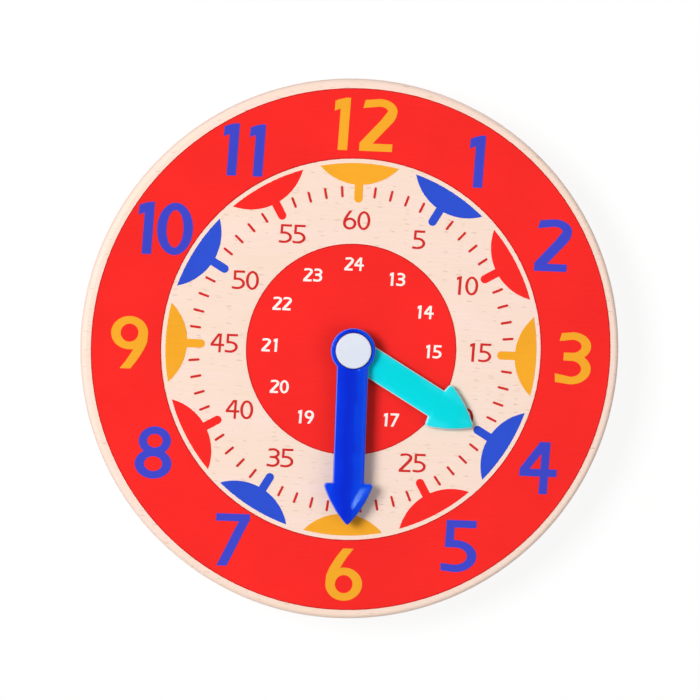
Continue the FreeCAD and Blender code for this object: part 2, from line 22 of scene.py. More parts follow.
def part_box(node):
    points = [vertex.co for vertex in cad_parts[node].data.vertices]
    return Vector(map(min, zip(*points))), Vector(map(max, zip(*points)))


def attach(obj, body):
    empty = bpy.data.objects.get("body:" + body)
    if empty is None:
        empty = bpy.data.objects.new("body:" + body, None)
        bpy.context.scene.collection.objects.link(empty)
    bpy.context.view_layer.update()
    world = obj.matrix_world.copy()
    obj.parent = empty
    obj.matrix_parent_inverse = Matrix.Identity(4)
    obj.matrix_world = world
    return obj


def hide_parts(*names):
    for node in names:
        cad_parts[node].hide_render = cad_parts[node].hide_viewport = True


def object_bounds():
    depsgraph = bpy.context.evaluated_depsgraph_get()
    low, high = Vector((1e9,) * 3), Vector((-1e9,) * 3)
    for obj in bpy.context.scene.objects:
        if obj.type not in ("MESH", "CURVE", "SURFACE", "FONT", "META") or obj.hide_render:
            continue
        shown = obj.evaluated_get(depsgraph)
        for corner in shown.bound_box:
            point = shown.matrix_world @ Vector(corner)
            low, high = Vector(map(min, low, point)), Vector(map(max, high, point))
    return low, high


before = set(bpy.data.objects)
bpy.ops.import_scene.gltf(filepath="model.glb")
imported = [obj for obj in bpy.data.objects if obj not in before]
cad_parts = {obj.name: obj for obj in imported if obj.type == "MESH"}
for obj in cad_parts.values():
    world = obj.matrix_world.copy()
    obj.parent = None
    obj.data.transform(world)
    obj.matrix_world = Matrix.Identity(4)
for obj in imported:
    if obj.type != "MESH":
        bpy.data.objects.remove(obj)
CAD_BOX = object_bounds()

MM = 0.001
WELD_GRID = 1e-4 * MM
WELD_GAP = 1e-3 * MM
FLAT_WITHIN = math.radians(0.5)
LOG = logging.getLogger("teaching_clock")

Node = bpy.types.Node
Socket = bpy.types.NodeSocket
Colour = tuple[float, float, float, float]
WHITE: Colour = (1.0, 1.0, 1.0, 1.0)


class Body(str, Enum):
    """Bodies that pieces ride on."""

    CLOCK = "clock body"
    MINUTE = "minute hand group"
    IDLER = "idler gear"
    WHEEL = "hour wheel"
    HOUR = "hour hand"


class Slot(str, Enum):
    """Material slots that the finishes carry."""

    BEECH = "beech_ply"
    INK_RED = "ink_red"
    INK_BLUE = "ink_blue"
    INK_YELLOW = "ink_yellow"
    INK_DARK_RED = "ink_dark_red"
    INK_WHITE = "ink_white"
    WHITE_ACETAL = "white_acetal"
    YELLOW_ACETAL = "yellow_acetal"
    RED_ACETAL = "red_acetal"
    CASE = "case_plastic"
    CLEAR = "clear_plastic"
    CAP = "white_plastic"
    BLUE_HAND = "blue_plastic"
    TEAL_HAND = "cyan_plastic"
    ZINC = "zinc_steel"
    STEEL = "spring_steel"


class Edge(float, Enum):
    """Widths of rounded edges in millimetres."""

    MOULDED = 0.3
    FINE = 0.12


def srgb(red: float, green: float, blue: float) -> Colour:
    """Turn a screen colour, 0 to 255 each, into Blender's linear colour.

    Args:
        red: Red part.
        green: Green part.
        blue: Blue part.

    Returns:
        Linear red, green, blue and an alpha of 1.
    """
    parts = np.array([red, green, blue]) / 255.0
    linear = np.where(parts <= 0.04045, parts / 12.92, ((parts + 0.055) / 1.055) ** 2.4)
    return (float(linear[0]), float(linear[1]), float(linear[2]), 1.0)


def darkened(colour: Colour, share: float) -> Colour:
    """A colour with its red, green and blue times a share."""
    return tuple(part * share for part in colour[:3]) + (1.0,)


def unit(x: float, y: float) -> np.ndarray:
    """Direction of unit length in the plane."""
    return np.array([x, y]) / math.hypot(x, y)


def steps(start: float, end: float, count: int) -> np.ndarray:
    """Evenly spaced values from start to end, both included."""
    return np.linspace(start, end, count)


def at_height(plane: np.ndarray, height: np.ndarray | float) -> np.ndarray:
    """Give points in the plane a height: one for all, one for each row or one for each point."""
    return np.concatenate([plane, height + 0 * plane[..., :1]], axis=-1)


# Surfaces


class Surface:
    """A mesh in the making: corner points and four-sided faces as whole arrays."""

    def __init__(self) -> None:
        """Start with no points and no faces."""
        self.points = np.zeros((0, 3))
        self.quads = np.zeros((0, 4), int)
        self.marks: dict[str, np.ndarray] = {}

    def add_grid(self, grid: np.ndarray, closed: bool = False, **marks: np.ndarray) -> None:
        """Add a sheet of faces over a grid of points.

        Faces join each row to the next and each column to the next: corner (i, j) goes with
        (i, j + 1), (i + 1, j + 1) and (i + 1, j).

        Args:
            grid: Points as rows by columns by 3.
            closed: True if the last column joins the first.
            marks: Values for the material at each point, rows by columns, by name.
        """
        before = len(self.points)
        for name, values in marks.items():
            earlier = self.marks.get(name, np.zeros(before))
            self.marks[name] = np.concatenate([earlier, values.reshape(-1)])
        rows, columns = grid.shape[:2]
        index = np.arange(rows * columns).reshape(rows, columns) + before
        right = np.roll(index, -1, axis=1)
        if not closed:
            index, right = index[:, :-1], right[:, :-1]
        quads = np.stack([index[:-1], right[:-1], right[1:], index[1:]], axis=-1).reshape(-1, 4)
        self.points = np.vstack([self.points, grid.reshape(-1, 3)])
        self.quads = np.vstack([self.quads, quads])

    def mesh(self, name: str) -> bpy.types.Mesh:
        """Weld points that coincide and make a mesh with faces outwards.

        Points are the same if they agree on WELD_GRID. A face that lost a corner to the weld
        becomes a triangle, and one that lost two is dropped.

        Args:
            name: Name of the mesh.

        Returns:
            The mesh, with its marks as point attributes.
        """
        keys = np.round(self.points / WELD_GRID).astype(np.int64)
        _, first, joined = np.unique(keys, axis=0, return_index=True, return_inverse=True)
        quads = joined.reshape(-1)[self.quads]
        repeats = quads == np.roll(quads, -1, axis=1)
        faces = [[corner for corner, repeat in zip(quad, row) if not repeat]
                 for quad, row in zip(quads.tolist(), repeats.tolist())]
        mesh = bpy.data.meshes.new(name)
        mesh.from_pydata(self.points[first].tolist(), [], [face for face in faces if len(set(face)) > 2])
        work = bmesh.new()
        work.from_mesh(mesh)
        bmesh.ops.recalc_face_normals(work, faces=work.faces)
        work.to_mesh(mesh)
        work.free()
        for label, values in self.marks.items():
            column = mesh.attributes.new(label, "FLOAT", "POINT")
            column.data.foreach_set("value", values[first].astype(np.float32))
        return mesh


def arc(centre: np.ndarray, radius: float, start: float, end: float, count: int) -> np.ndarray:
    """Points of an arc: centre plus radius times (cos, sin) of an angle that runs evenly.

    Args:
        centre: Centre in the plane.
        radius: Radius.
        start: First angle in radians.
        end: Last angle in radians.
        count: Number of points.

    Returns:
        The points, count by 2.
    """
    angle = steps(start, end, count)
    return np.asarray(centre) + radius * np.stack([np.cos(angle), np.sin(angle)], axis=-1)


def corner_arc(corner: np.ndarray, arriving: np.ndarray, leaving: np.ndarray, radius: float,
               count: int) -> np.ndarray:
    """Points of the arc that rounds a corner between two straight runs.

    The arc touches both runs at radius times the tangent of half the turn from the corner.

    Args:
        corner: The sharp corner.
        arriving: Unit direction of the run into the corner.
        leaving: Unit direction of the run out of it.
        radius: Radius of the arc.
        count: Number of points.

    Returns:
        The points, count by 2, from the first run to the second.
    """
    cross = arriving[0] * leaving[1] - arriving[1] * leaving[0]
    turn = math.atan2(cross, float(arriving @ leaving))
    side = math.copysign(1.0, turn)
    start = corner - arriving * radius * math.tan(abs(turn) / 2)
    centre = start + side * radius * np.array([-arriving[1], arriving[0]])
    first = math.atan2(*(start - centre)[::-1])
    return arc(centre, radius, first, first + turn, count)


def swelling_arc(start: np.ndarray, end: np.ndarray, radius: float, count: int) -> np.ndarray:
    """Arc of a given radius from start to end, swelling to the right of the way.

    Its centre lies to the left of the chord's middle, away from it by the root of the radius
    squared less the half chord squared.

    Args:
        start: First point.
        end: Last point.
        radius: Radius of the arc.
        count: Number of points.

    Returns:
        The points, count by 2.
    """
    chord = end - start
    half = math.hypot(*chord) / 2
    inward = np.array([-chord[1], chord[0]]) / (2 * half)
    centre = (start + end) / 2 + inward * math.sqrt(radius ** 2 - half ** 2)
    first = math.atan2(*(start - centre)[::-1])
    last = math.atan2(*(end - centre)[::-1])
    return arc(centre, radius, first, last, count)


def turned_profile(corners: list[tuple[float, float, float]], count: int) -> np.ndarray:
    """Closed (radius, height) outline of a turned piece, each corner rounded by its own radius.

    Args:
        corners: Radius, height and rounding of each corner, in order round the outline.
        count: Points in each rounded corner.

    Returns:
        The outline's points in the units of the corners, the first repeated at the end.
    """
    places = np.array([corner[:2] for corner in corners])
    rounded = []
    for i, place in enumerate(places):
        arriving = unit(*(place - places[i - 1]))
        leaving = unit(*(places[(i + 1) % len(places)] - place))
        rounded.append(corner_arc(place, arriving, leaving, corners[i][2], count))
    return np.vstack(rounded + [rounded[0][:1]])


def turn_about_axis(profile: np.ndarray, segments: int) -> np.ndarray:
    """Carry a profile round the Z axis: x = r cos a, y = r sin a, z = h.

    Args:
        profile: (radius, height) points.
        segments: Number of columns round the axis.

    Returns:
        Grid of points, profile by segments by 3.
    """
    angle = np.arange(segments) * (2 * math.pi / segments)
    radius, height = profile[:, :1], profile[:, 1:]
    return np.stack([radius * np.cos(angle), radius * np.sin(angle), height + 0 * angle], axis=-1)


# Shader building


class NodeTree:
    """Small helper that adds and links shader nodes by name."""

    def __init__(self, tree: bpy.types.NodeTree) -> None:
        """Keep the tree that nodes are added to."""
        self.tree = tree

    @classmethod
    def emptied(cls, owner: bpy.types.Material | bpy.types.World) -> "NodeTree":
        """Clear a new material's or world's default nodes.

        Args:
            owner: The material or world.

        Returns:
            The helper on its node tree.
        """
        owner.use_nodes = True
        owner.node_tree.nodes.clear()
        return cls(owner.node_tree)

    def add(self, kind: str, **values: Any) -> Node:
        """Add a node and set its properties.

        Args:
            kind: Node type without the ShaderNode prefix.
            values: Node properties by name.

        Returns:
            The new node.
        """
        node = self.tree.nodes.new(kind if kind.startswith("Node") else "ShaderNode" + kind)
        for name, value in values.items():
            setattr(node, name, value)
        return node

    def join(self, socket: Socket, value: Any) -> None:
        """Link an output to a socket, or set the socket's value.

        Args:
            socket: The input socket.
            value: An output socket, or a number, a colour or a vector.
        """
        if isinstance(value, bpy.types.NodeSocket):
            self.tree.links.new(value, socket)
        else:
            socket.default_value = value

    def feed(self, node: Node, **inputs: Any) -> Node:
        """Set or link a node's inputs by name.

        Args:
            node: The node.
            inputs: Input names with spaces as underscores, and what join takes.

        Returns:
            The same node.
        """
        for name, value in inputs.items():
            self.join(node.inputs[name.replace("_", " ")], value)
        return node

    def fill(self, node: Node, *values: Any) -> Node:
        """Set or link a node's first inputs in order.

        Args:
            node: The node.
            values: What join takes, one for each input.

        Returns:
            The same node.
        """
        for socket, value in zip(node.inputs, values):
            self.join(socket, value)
        return node

    def math(self, operation: str, *values: Any, clamp: bool = False) -> Socket:
        """Result of a Math node on numbers or sockets."""
        return self.fill(self.add("Math", operation=operation, use_clamp=clamp), *values).outputs[0]

    def plus(self, first: Any, second: Any, clamp: bool = False) -> Socket:
        """Sum of two numbers or sockets, held between 0 and 1 if clamped."""
        return self.math("ADD", first, second, clamp=clamp)

    def minus(self, first: Any, second: Any) -> Socket:
        """Difference of two numbers or sockets."""
        return self.math("SUBTRACT", first, second)

    def times(self, first: Any, second: Any, clamp: bool = False) -> Socket:
        """Product of two numbers or sockets, held between 0 and 1 if clamped."""
        return self.math("MULTIPLY", first, second, clamp=clamp)

    def over(self, first: Any, second: Any) -> Socket:
        """Quotient of two numbers or sockets."""
        return self.math("DIVIDE", first, second)

    def lifted(self, base: Any, mark: Any, amount: float) -> Socket:
        """A base value plus an amount that goes with a mark."""
        return self.plus(self.times(mark, amount), base)

    def vector(self, operation: str, *values: Any) -> Node:
        """A Vector Math node on vectors or sockets."""
        return self.fill(self.add("VectorMath", operation=operation), *values)

    def parts(self, vector: Any) -> list[Socket]:
        """The x, y and z of a vector."""
        return list(self.feed(self.add("SeparateXYZ"), Vector=vector).outputs)

    def vector_of(self, **parts: Any) -> Socket:
        """A vector from its X, Y and Z, of which one that isn't given is 0."""
        return self.feed(self.add("CombineXYZ"), **parts).outputs[0]

    def axis_distance(self, place: Socket) -> Socket:
        """Distance of a place from the Z axis."""
        flat = self.vector("MULTIPLY", place, (1.0, 1.0, 0.0))
        return self.vector("LENGTH", flat.outputs[0]).outputs["Value"]

    def noise(self, dimensions: str, **inputs: Any) -> Socket:
        """Value of a noise pattern in "2D" or "3D", with its inputs by name."""
        return self.feed(self.add("TexNoise", noise_dimensions=dimensions), **inputs).outputs[0]

    def ramp(self, value: Any, low: float, high: float, to_low: float = 0.0,
             to_high: float = 1.0) -> Socket:
        """Map a value smoothly from one range to another, held at the ends."""
        node = self.add("MapRange", interpolation_type="SMOOTHSTEP", clamp=True)
        return self.fill(node, value, low, high, to_low, to_high).outputs[0]

    def mix(self, share: Any, first: Any, second: Any) -> Socket:
        """Mix two colours.

        Args:
            share: 0 for the first colour, 1 for the second.
            first: A colour or a socket.
            second: A colour or a socket.

        Returns:
            The mixed colour.
        """
        node = self.add("Mix", data_type="RGBA", clamp_factor=True)
        inputs = [node.inputs[0]] + [socket for socket in node.inputs if socket.type == "RGBA"]
        for socket, value in zip(inputs, (share, first, second)):
            self.join(socket, value)
        return next(socket for socket in node.outputs if socket.type == "RGBA")

    def mix_shaders(self, share: Any, first: Node, second: Node) -> Node:
        """Mix two shaders, by a share of 0 for the first and 1 for the second."""
        return self.fill(self.add("MixShader"), share, first.outputs[0], second.outputs[0])

    def bump(self, height: Any, depth: float, strength: float = 1.0) -> Socket:
        """Normal of a relief, on which a height of 1 stands for a depth in millimetres."""
        return self.feed(self.add("Bump"), Height=height, Distance=depth * MM, Strength=strength).outputs[0]

    def showing_rays(self) -> Socket:
        """Rays that show what they meet: straight, mirrored or through something clear.

        Returns:
            1 for such a ray and 0 for any other.
        """
        ray = self.add("LightPath").outputs
        straight_or_mirrored = self.plus(ray["Is Camera Ray"], ray["Is Glossy Ray"])
        return self.plus(straight_or_mirrored, ray["Is Transmission Ray"], clamp=True)


@dataclass(frozen=True)
class Effect(ABC):
    """A shader node group that more than one material uses, built once.

    Its subclass names it, its number inputs with their usual values, and its outputs.
    """

    name: ClassVar[str]
    numbers: ClassVar[dict[str, float]]
    results: ClassVar[tuple[str, ...]]
    made: ClassVar[dict[str, bpy.types.NodeTree]] = {}

    def group(self) -> bpy.types.NodeTree:
        """The node group, built on first use.

        Returns:
            The group, whose Vector is in metres.
        """
        if self.name not in Effect.made:
            group = bpy.data.node_groups.new(self.name, "ShaderNodeTree")
            group.interface.new_socket("Vector", in_out="INPUT", socket_type="NodeSocketVector")
            for label, value in self.numbers.items():
                socket = group.interface.new_socket(label, in_out="INPUT", socket_type="NodeSocketFloat")
                socket.default_value = value
            for label in self.results:
                group.interface.new_socket(label, in_out="OUTPUT", socket_type="NodeSocketFloat")
            tree = NodeTree(group)
            given = tree.add("NodeGroupInput").outputs
            place = tree.feed(tree.vector("SCALE", given["Vector"]), Scale=1 / MM).outputs[0]
            tree.feed(tree.add("NodeGroupOutput"), **self.pattern(tree, place, given))
            Effect.made[self.name] = group
        return Effect.made[self.name]

    @abstractmethod
    def pattern(self, tree: NodeTree, place: Socket, given: bpy.types.NodeOutputs) -> dict[str, Socket]:
        """Work out the group's outputs.

        Args:
            tree: Helper on the group's tree.
            place: The group's Vector in millimetres.
            given: The group's inputs by name.

        Returns:
            The outputs' values by name.
        """

    def placed(self, tree: NodeTree, place: Socket, **values: float) -> bpy.types.NodeOutputs:
        """Place the group in a material with its own values.

        Args:
            tree: Helper on the material's tree.
            place: Coordinates for its Vector input.
            values: Its other inputs, with spaces as underscores.

        Returns:
            The outputs of the group's node.
        """
        return tree.feed(tree.add("Group", node_tree=self.group()), Vector=place, **values).outputs


@dataclass(frozen=True)
class BeechFigure(Effect):
    """Figure of rotary-cut beech: short dark rays, faint long lines and soft bands.

    Rays are the cells of a Voronoi pattern stretched along the grain, of which a share
    shows; lines and bands are noise stretched along the grain, which runs along X.
    """

    name: ClassVar[str] = "beech_figure"
    numbers: ClassVar[dict[str, float]] = {
        "Ray Length": 2.6, "Ray Width": 0.45, "Spacing": 5.2, "Share": 0.24}
    results: ClassVar[tuple[str, ...]] = ("Rays", "Lines", "Bands", "Height")
    wander: float = 4.0
    wander_scale: float = 0.035
    least_size: float = 0.5
    size_spread: float = 0.9
    ray_core: float = 0.35
    least_depth: float = 0.25
    along_scale: float = 0.03
    across_scale: float = 0.55
    line_range: tuple[float, float] = (0.3, 0.72)
    band_range: tuple[float, float] = (0.3, 0.7)
    line_relief: float = 0.5

    def pattern(self, tree: NodeTree, place: Socket, given: bpy.types.NodeOutputs) -> dict[str, Socket]:
        """Rays, lines and bands on a grain that wanders a little sideways.

        Rays are sunk and lines stand up in the Height.

        Args:
            tree: Helper on the group's tree.
            place: The group's Vector in millimetres.
            given: The group's inputs by name.

        Returns:
            The outputs' values by name.
        """
        drift = tree.minus(tree.noise("2D", Vector=place, Scale=self.wander_scale, Detail=2.0), 0.5)
        along, across, _ = tree.parts(place)
        level = tree.plus(across, tree.times(drift, self.wander))
        rays = self.rays(tree, along, level, given)
        grain = tree.vector_of(X=tree.times(along, self.along_scale), Y=tree.times(level, self.across_scale))
        lines = tree.noise("2D", Vector=grain, Scale=2.2, Detail=5.0, Roughness=0.62)
        bands = tree.noise("2D", Vector=grain, Scale=0.16, Detail=2.0, Roughness=0.5)
        lines = tree.ramp(lines, *self.line_range)
        height = tree.plus(tree.times(rays, -1.0), tree.times(lines, self.line_relief))
        return {"Rays": rays, "Lines": lines, "Bands": tree.ramp(bands, *self.band_range), "Height": height}

    def rays(self, tree: NodeTree, along: Socket, level: Socket, given: bpy.types.NodeOutputs) -> Socket:
        """Lens-shaped flecks, one in each cell that shows, of its own size and depth.

        Args:
            tree: Helper on the group's tree.
            along: Place along the grain in millimetres.
            level: Place across it, with its wander.
            given: The group's inputs by name.

        Returns:
            How dark the fleck is, from 0 outside it to its depth in its core.
        """
        spacing = given["Spacing"]
        aspect = tree.over(given["Ray Length"], given["Ray Width"])
        cell_place = tree.vector_of(X=tree.over(along, spacing),
                                    Y=tree.over(tree.times(level, aspect), spacing))
        cells = tree.feed(tree.add("TexVoronoi", voronoi_dimensions="2D", feature="F1"),
                          Vector=cell_place, Scale=1.0, Randomness=1.0).outputs
        dice = tree.feed(tree.add("SeparateColor"), Color=cells["Color"]).outputs
        half_length = tree.over(tree.times(given["Ray Length"], 0.5), spacing)
        size = tree.times(half_length, tree.lifted(self.least_size, dice[1], self.size_spread))
        fleck = tree.ramp(tree.over(cells["Distance"], size), self.ray_core, 1.0, 1.0, 0.0)
        shown = tree.math("LESS_THAN", dice[0], given["Share"])
        depth = tree.lifted(self.least_depth, dice[2], 1.0 - self.least_depth)
        return tree.times(tree.times(fleck, shown), depth)


@dataclass(frozen=True)
class Mottle(Effect):
    """Slow unevenness of a coat or a moulding, plus a fine grit."""

    name: ClassVar[str] = "mottle"
    numbers: ClassVar[dict[str, float]] = {"Patch": 14.0, "Grain": 0.25}
    results: ClassVar[tuple[str, ...]] = ("Tone", "Grit", "Height")
    tone_range: tuple[float, float] = (0.28, 0.72)
    grit_range: tuple[float, float] = (0.3, 0.7)

    def pattern(self, tree: NodeTree, place: Socket, given: bpy.types.NodeOutputs) -> dict[str, Socket]:
        """Noise as wide as a patch and noise as wide as a grain, both in millimetres.

        Args:
            tree: Helper on the group's tree.
            place: The group's Vector in millimetres.
            given: The group's inputs by name.

        Returns:
            Tone and Grit from 0 to 1, and the slow noise itself as Height.
        """
        slow = tree.noise("3D", Vector=place, Scale=tree.over(1.0, given["Patch"]), Detail=2.5, Roughness=0.5)
        fine = tree.noise("3D", Vector=place, Scale=tree.over(1.0, given["Grain"]), Detail=3.0, Roughness=0.6)
        tone, grit = tree.ramp(slow, *self.tone_range), tree.ramp(fine, *self.grit_range)
        return {"Tone": tone, "Grit": grit, "Height": slow}


BEECH_FIGURE = BeechFigure()
MOTTLE = Mottle()


# Finishes


@dataclass(frozen=True)
class Finish(ABC):
    """A surface finish that makes one Blender material."""

    name: str
    slot: Slot
    made: ClassVar[dict[str, bpy.types.Material]] = {}

    def material(self) -> bpy.types.Material:
        """The finish's material, built on first use.

        Returns:
            The material.
        """
        if self.name not in Finish.made:
            material = bpy.data.materials.new(self.name)
            tree = NodeTree.emptied(material)
            shader = tree.add("BsdfPrincipled")
            self.dress(tree, shader, tree.add("TexCoord").outputs["Object"])
            tree.feed(tree.add("OutputMaterial"), Surface=shader.outputs[0])
            Finish.made[self.name] = material
        return Finish.made[self.name]

    @abstractmethod
    def dress(self, tree: NodeTree, shader: Node, place: Socket) -> None:
        """Fill the shader's sockets.

        Args:
            tree: Helper on the material's tree.
            shader: The Principled BSDF.
            place: Object coordinates.
        """


@dataclass(frozen=True)
class BeechPly(Finish):
    """Sanded and clear-lacquered beech plywood: figured faces, layered edge."""

    face: Colour = srgb(252, 224, 211)
    warm: Colour = srgb(249, 222, 202)
    ray: Colour = srgb(214, 172, 152)
    core: Colour = srgb(232, 200, 176)
    grain_turn: float = math.radians(2.5)
    ply: float = 9.0 / 7.0
    line_share: float = 0.14
    ray_share: float = 0.7
    ply_share: float = 0.55
    ply_border: float = 0.12
    speck_share: float = 0.3
    edge_to_face: tuple[float, float] = (0.35, 0.8)
    edge_roughness: float = 0.7
    face_roughness: float = 0.5
    pore_roughness: float = 0.1
    gloss: float = 0.3

    def dress(self, tree: NodeTree, shader: Node, place: Socket) -> None:
        """Rays, lines and bands where the board faces up or down, plies on its edge.

        Args:
            tree: Helper on the material's tree.
            shader: The Principled BSDF.
            place: Object coordinates.
        """
        turned = tree.feed(tree.add("Mapping"), Vector=place, Rotation=(0.0, 0.0, self.grain_turn))
        figure = BEECH_FIGURE.placed(tree, turned.outputs[0])
        pores = MOTTLE.placed(tree, place, Patch=3.0, Grain=0.16)
        upright = tree.parts(tree.add("NewGeometry").outputs["Normal"])[2]
        facing = tree.ramp(tree.math("ABSOLUTE", upright), *self.edge_to_face)
        colour = tree.mix(facing, self.edge_colour(tree, place, pores), self.face_colour(tree, place, figure))
        sawn = tree.ramp(facing, 0.0, 1.0, self.edge_roughness, self.face_roughness)
        relief = tree.times(figure["Height"], facing)
        tree.feed(shader, Base_Color=colour, Roughness=tree.lifted(sawn, pores["Grit"], self.pore_roughness),
                  Specular_IOR_Level=self.gloss, Normal=tree.bump(relief, depth=0.03, strength=0.6))

    def face_colour(self, tree: NodeTree, place: Socket, figure: bpy.types.NodeOutputs) -> Socket:
        """Colour of the faces.

        Args:
            tree: Helper on the material's tree.
            place: Object coordinates.
            figure: Outputs of the beech figure.

        Returns:
            The two wood tones in bands and clouds, with lines and rays over them.
        """
        cloud = MOTTLE.placed(tree, place, Patch=9.0, Grain=0.3)
        tone = tree.times(tree.plus(figure["Bands"], cloud["Tone"]), 0.5)
        colour = tree.mix(tone, self.face, self.warm)
        colour = tree.mix(tree.times(figure["Lines"], self.line_share), colour, self.core)
        return tree.mix(tree.times(figure["Rays"], self.ray_share), colour, self.ray)

    def edge_colour(self, tree: NodeTree, place: Socket, pores: bpy.types.NodeOutputs) -> Socket:
        """Colour of the sawn edge.

        Args:
            tree: Helper on the material's tree.
            place: Object coordinates.
            pores: Outputs of the mottle that stands for open pores.

        Returns:
            Light and dark plies in turn, with specks in the dark ones.
        """
        layer = tree.over(tree.parts(place)[2], self.ply * MM)
        wave = tree.math("SINE", tree.times(layer, math.pi))
        plies = tree.ramp(wave, -self.ply_border, self.ply_border)
        colour = tree.mix(tree.times(plies, self.ply_share), self.face, self.core)
        return tree.mix(tree.times(tree.times(pores["Grit"], plies), self.speck_share), colour, self.ray)


@dataclass(frozen=True)
class ScreenInk(Finish):
    """Opaque satin screen ink that lets a little of the wood's figure through as relief."""

    ink: Colour
    rims: tuple[float, ...] = ()
    rim_width: float = 0.55
    rim_core: float = 0.35
    rim_share: float = 0.45
    rim_colour: Colour = (0.12, 0.0, 0.0, 1.0)
    patch_shade: float = 0.94
    line_share: float = 0.025
    line_colour: Colour = (0.02, 0.0, 0.0, 1.0)
    roughness: float = 0.5
    grit: float = 0.08
    gloss: float = 0.06

    def dress(self, tree: NodeTree, shader: Node, place: Socket) -> None:
        """Slow patches in the colour and the grain's relief in the normal.

        Args:
            tree: Helper on the material's tree.
            shader: The Principled BSDF.
            place: Object coordinates.
        """
        figure = BEECH_FIGURE.placed(tree, place)
        patch = MOTTLE.placed(tree, place, Patch=26.0, Grain=0.3)
        colour = tree.mix(patch["Tone"], self.ink, darkened(self.ink, self.patch_shade))
        colour = tree.mix(tree.times(figure["Lines"], self.line_share), colour, self.line_colour)
        if self.rims:
            colour = tree.mix(self.near_rims(tree, place), colour, self.rim_colour)
        tree.feed(shader, Base_Color=colour, Roughness=tree.lifted(self.roughness, patch["Grit"], self.grit),
                  Specular_IOR_Level=self.gloss,
                  Normal=tree.bump(figure["Height"], depth=0.006, strength=0.4))

    def near_rims(self, tree: NodeTree, place: Socket) -> Socket:
        """Share of the darker bead that screen ink leaves along its round borders.

        Args:
            tree: Helper on the material's tree.
            place: Object coordinates.

        Returns:
            The share, from 0 away from the borders to rim_share at them.
        """
        radius = tree.axis_distance(place)
        nearest: Any = 1.0
        for rim in self.rims:
            nearest = tree.math("MINIMUM", nearest, tree.math("ABSOLUTE", tree.minus(radius, rim * MM)))
        width = self.rim_width * MM
        return tree.ramp(nearest, self.rim_core * width, width, self.rim_share, 0.0)


@dataclass(frozen=True)
class MouldedPlastic(Finish):
    """Injection-moulded plastic, from satin to spark-eroded by its roughness and grain."""

    colour: Colour
    roughness: float
    gloss: float = 0.4
    grain: float = 0.3
    relief: float = 0.004
    patch: float = 14.0
    patch_shade: float = 0.95
    grit: float = 0.06

    def dress(self, tree: NodeTree, shader: Node, place: Socket) -> None:
        """Faint flow patches and fine grit.

        Args:
            tree: Helper on the material's tree.
            shader: The Principled BSDF.
            place: Object coordinates.
        """
        flow = MOTTLE.placed(tree, place, Patch=self.patch, Grain=self.grain)
        colour = tree.mix(flow["Tone"], self.colour, darkened(self.colour, self.patch_shade))
        tree.feed(shader, Base_Color=colour, Roughness=tree.lifted(self.roughness, flow["Grit"], self.grit),
                  Specular_IOR_Level=self.gloss,
                  Normal=tree.bump(tree.times(flow["Grit"], self.relief), depth=1.0))


@dataclass(frozen=True)
class PaintedLightPlastic(Finish):
    """Glossy, slightly translucent moulding: light gathers along its rims and its far side.

    The light that gathers there and the shade in the cap's groove are painted into the base colour.
    The meshes that wear it carry two marks. "across" runs from -1 at one side of the hand to
    1 at the other and picks the ramp's colour, a painted light that makes one side lighter.
    "rim" is 0 on the dome, 1 on the rounded edge, where a pale painted highlight lies, and -1
    in the cap's groove, where painted shade lies.
    """

    # Painted light: the across colours make one side of the hand lighter, the rim colour is a painted
    # highlight on the edges, and the groove colour is painted shade in the cap's groove.
    across: tuple[tuple[float, Colour], ...]
    rim: Colour
    groove: Colour
    rim_highlight_strength: float = 0.6
    span: float = 1.2
    drift: float = 0.25
    roughness: float = 0.05
    grit: float = 0.04
    gloss: float = 0.06

    def dress(self, tree: NodeTree, shader: Node, place: Socket) -> None:
        """Colour by the marks, slow sink marks in the gloss.

        Args:
            tree: Helper on the material's tree.
            shader: The Principled BSDF.
            place: Object coordinates.
        """
        flow = MOTTLE.placed(tree, place, Patch=7.0, Grain=0.2)
        mark = tree.add("Attribute", attribute_name="across").outputs["Fac"]
        drift = tree.times(tree.minus(flow["Tone"], 0.5), self.drift)
        share = tree.over(tree.plus(tree.plus(mark, drift), self.span), 2 * self.span)
        rim = tree.add("Attribute", attribute_name="rim").outputs["Fac"]
        # Painted light: the ramp makes one side of the hand lighter.
        colour = self.painted_light_ramp(tree, share)
        # Painted highlight: a pale colour over the rounded edge.
        colour = tree.mix(tree.times(rim, self.rim_highlight_strength, clamp=True), colour, self.rim)
        # Painted shade: a dark colour in the cap's groove.
        colour = tree.mix(tree.times(rim, -1.0, clamp=True), colour, self.groove)
        tree.feed(shader, Base_Color=colour, Roughness=tree.lifted(self.roughness, flow["Grit"], self.grit),
                  Specular_IOR_Level=self.gloss, Normal=tree.bump(flow["Height"], depth=0.01))

    def painted_light_ramp(self, tree: NodeTree, share: Socket) -> Socket:
        """Colour from one side of the hand to the other.

        Args:
            tree: Helper on the material's tree.
            share: 0 at -span and 1 at span across the hand.

        Returns:
            The colour of the ramp, whose stops are the colours in across: painted light, lighter towards one
            side.
        """
        node = tree.feed(tree.add("ValToRGB"), Fac=share)
        stops = node.color_ramp.elements
        node.color_ramp.interpolation = "EASE"
        while len(stops) < len(self.across):
            stops.new(0.5)
        for stop, (position, colour) in zip(stops, self.across):
            stop.position = (position + self.span) / (2 * self.span)
            stop.color = colour
        return node.outputs[0]


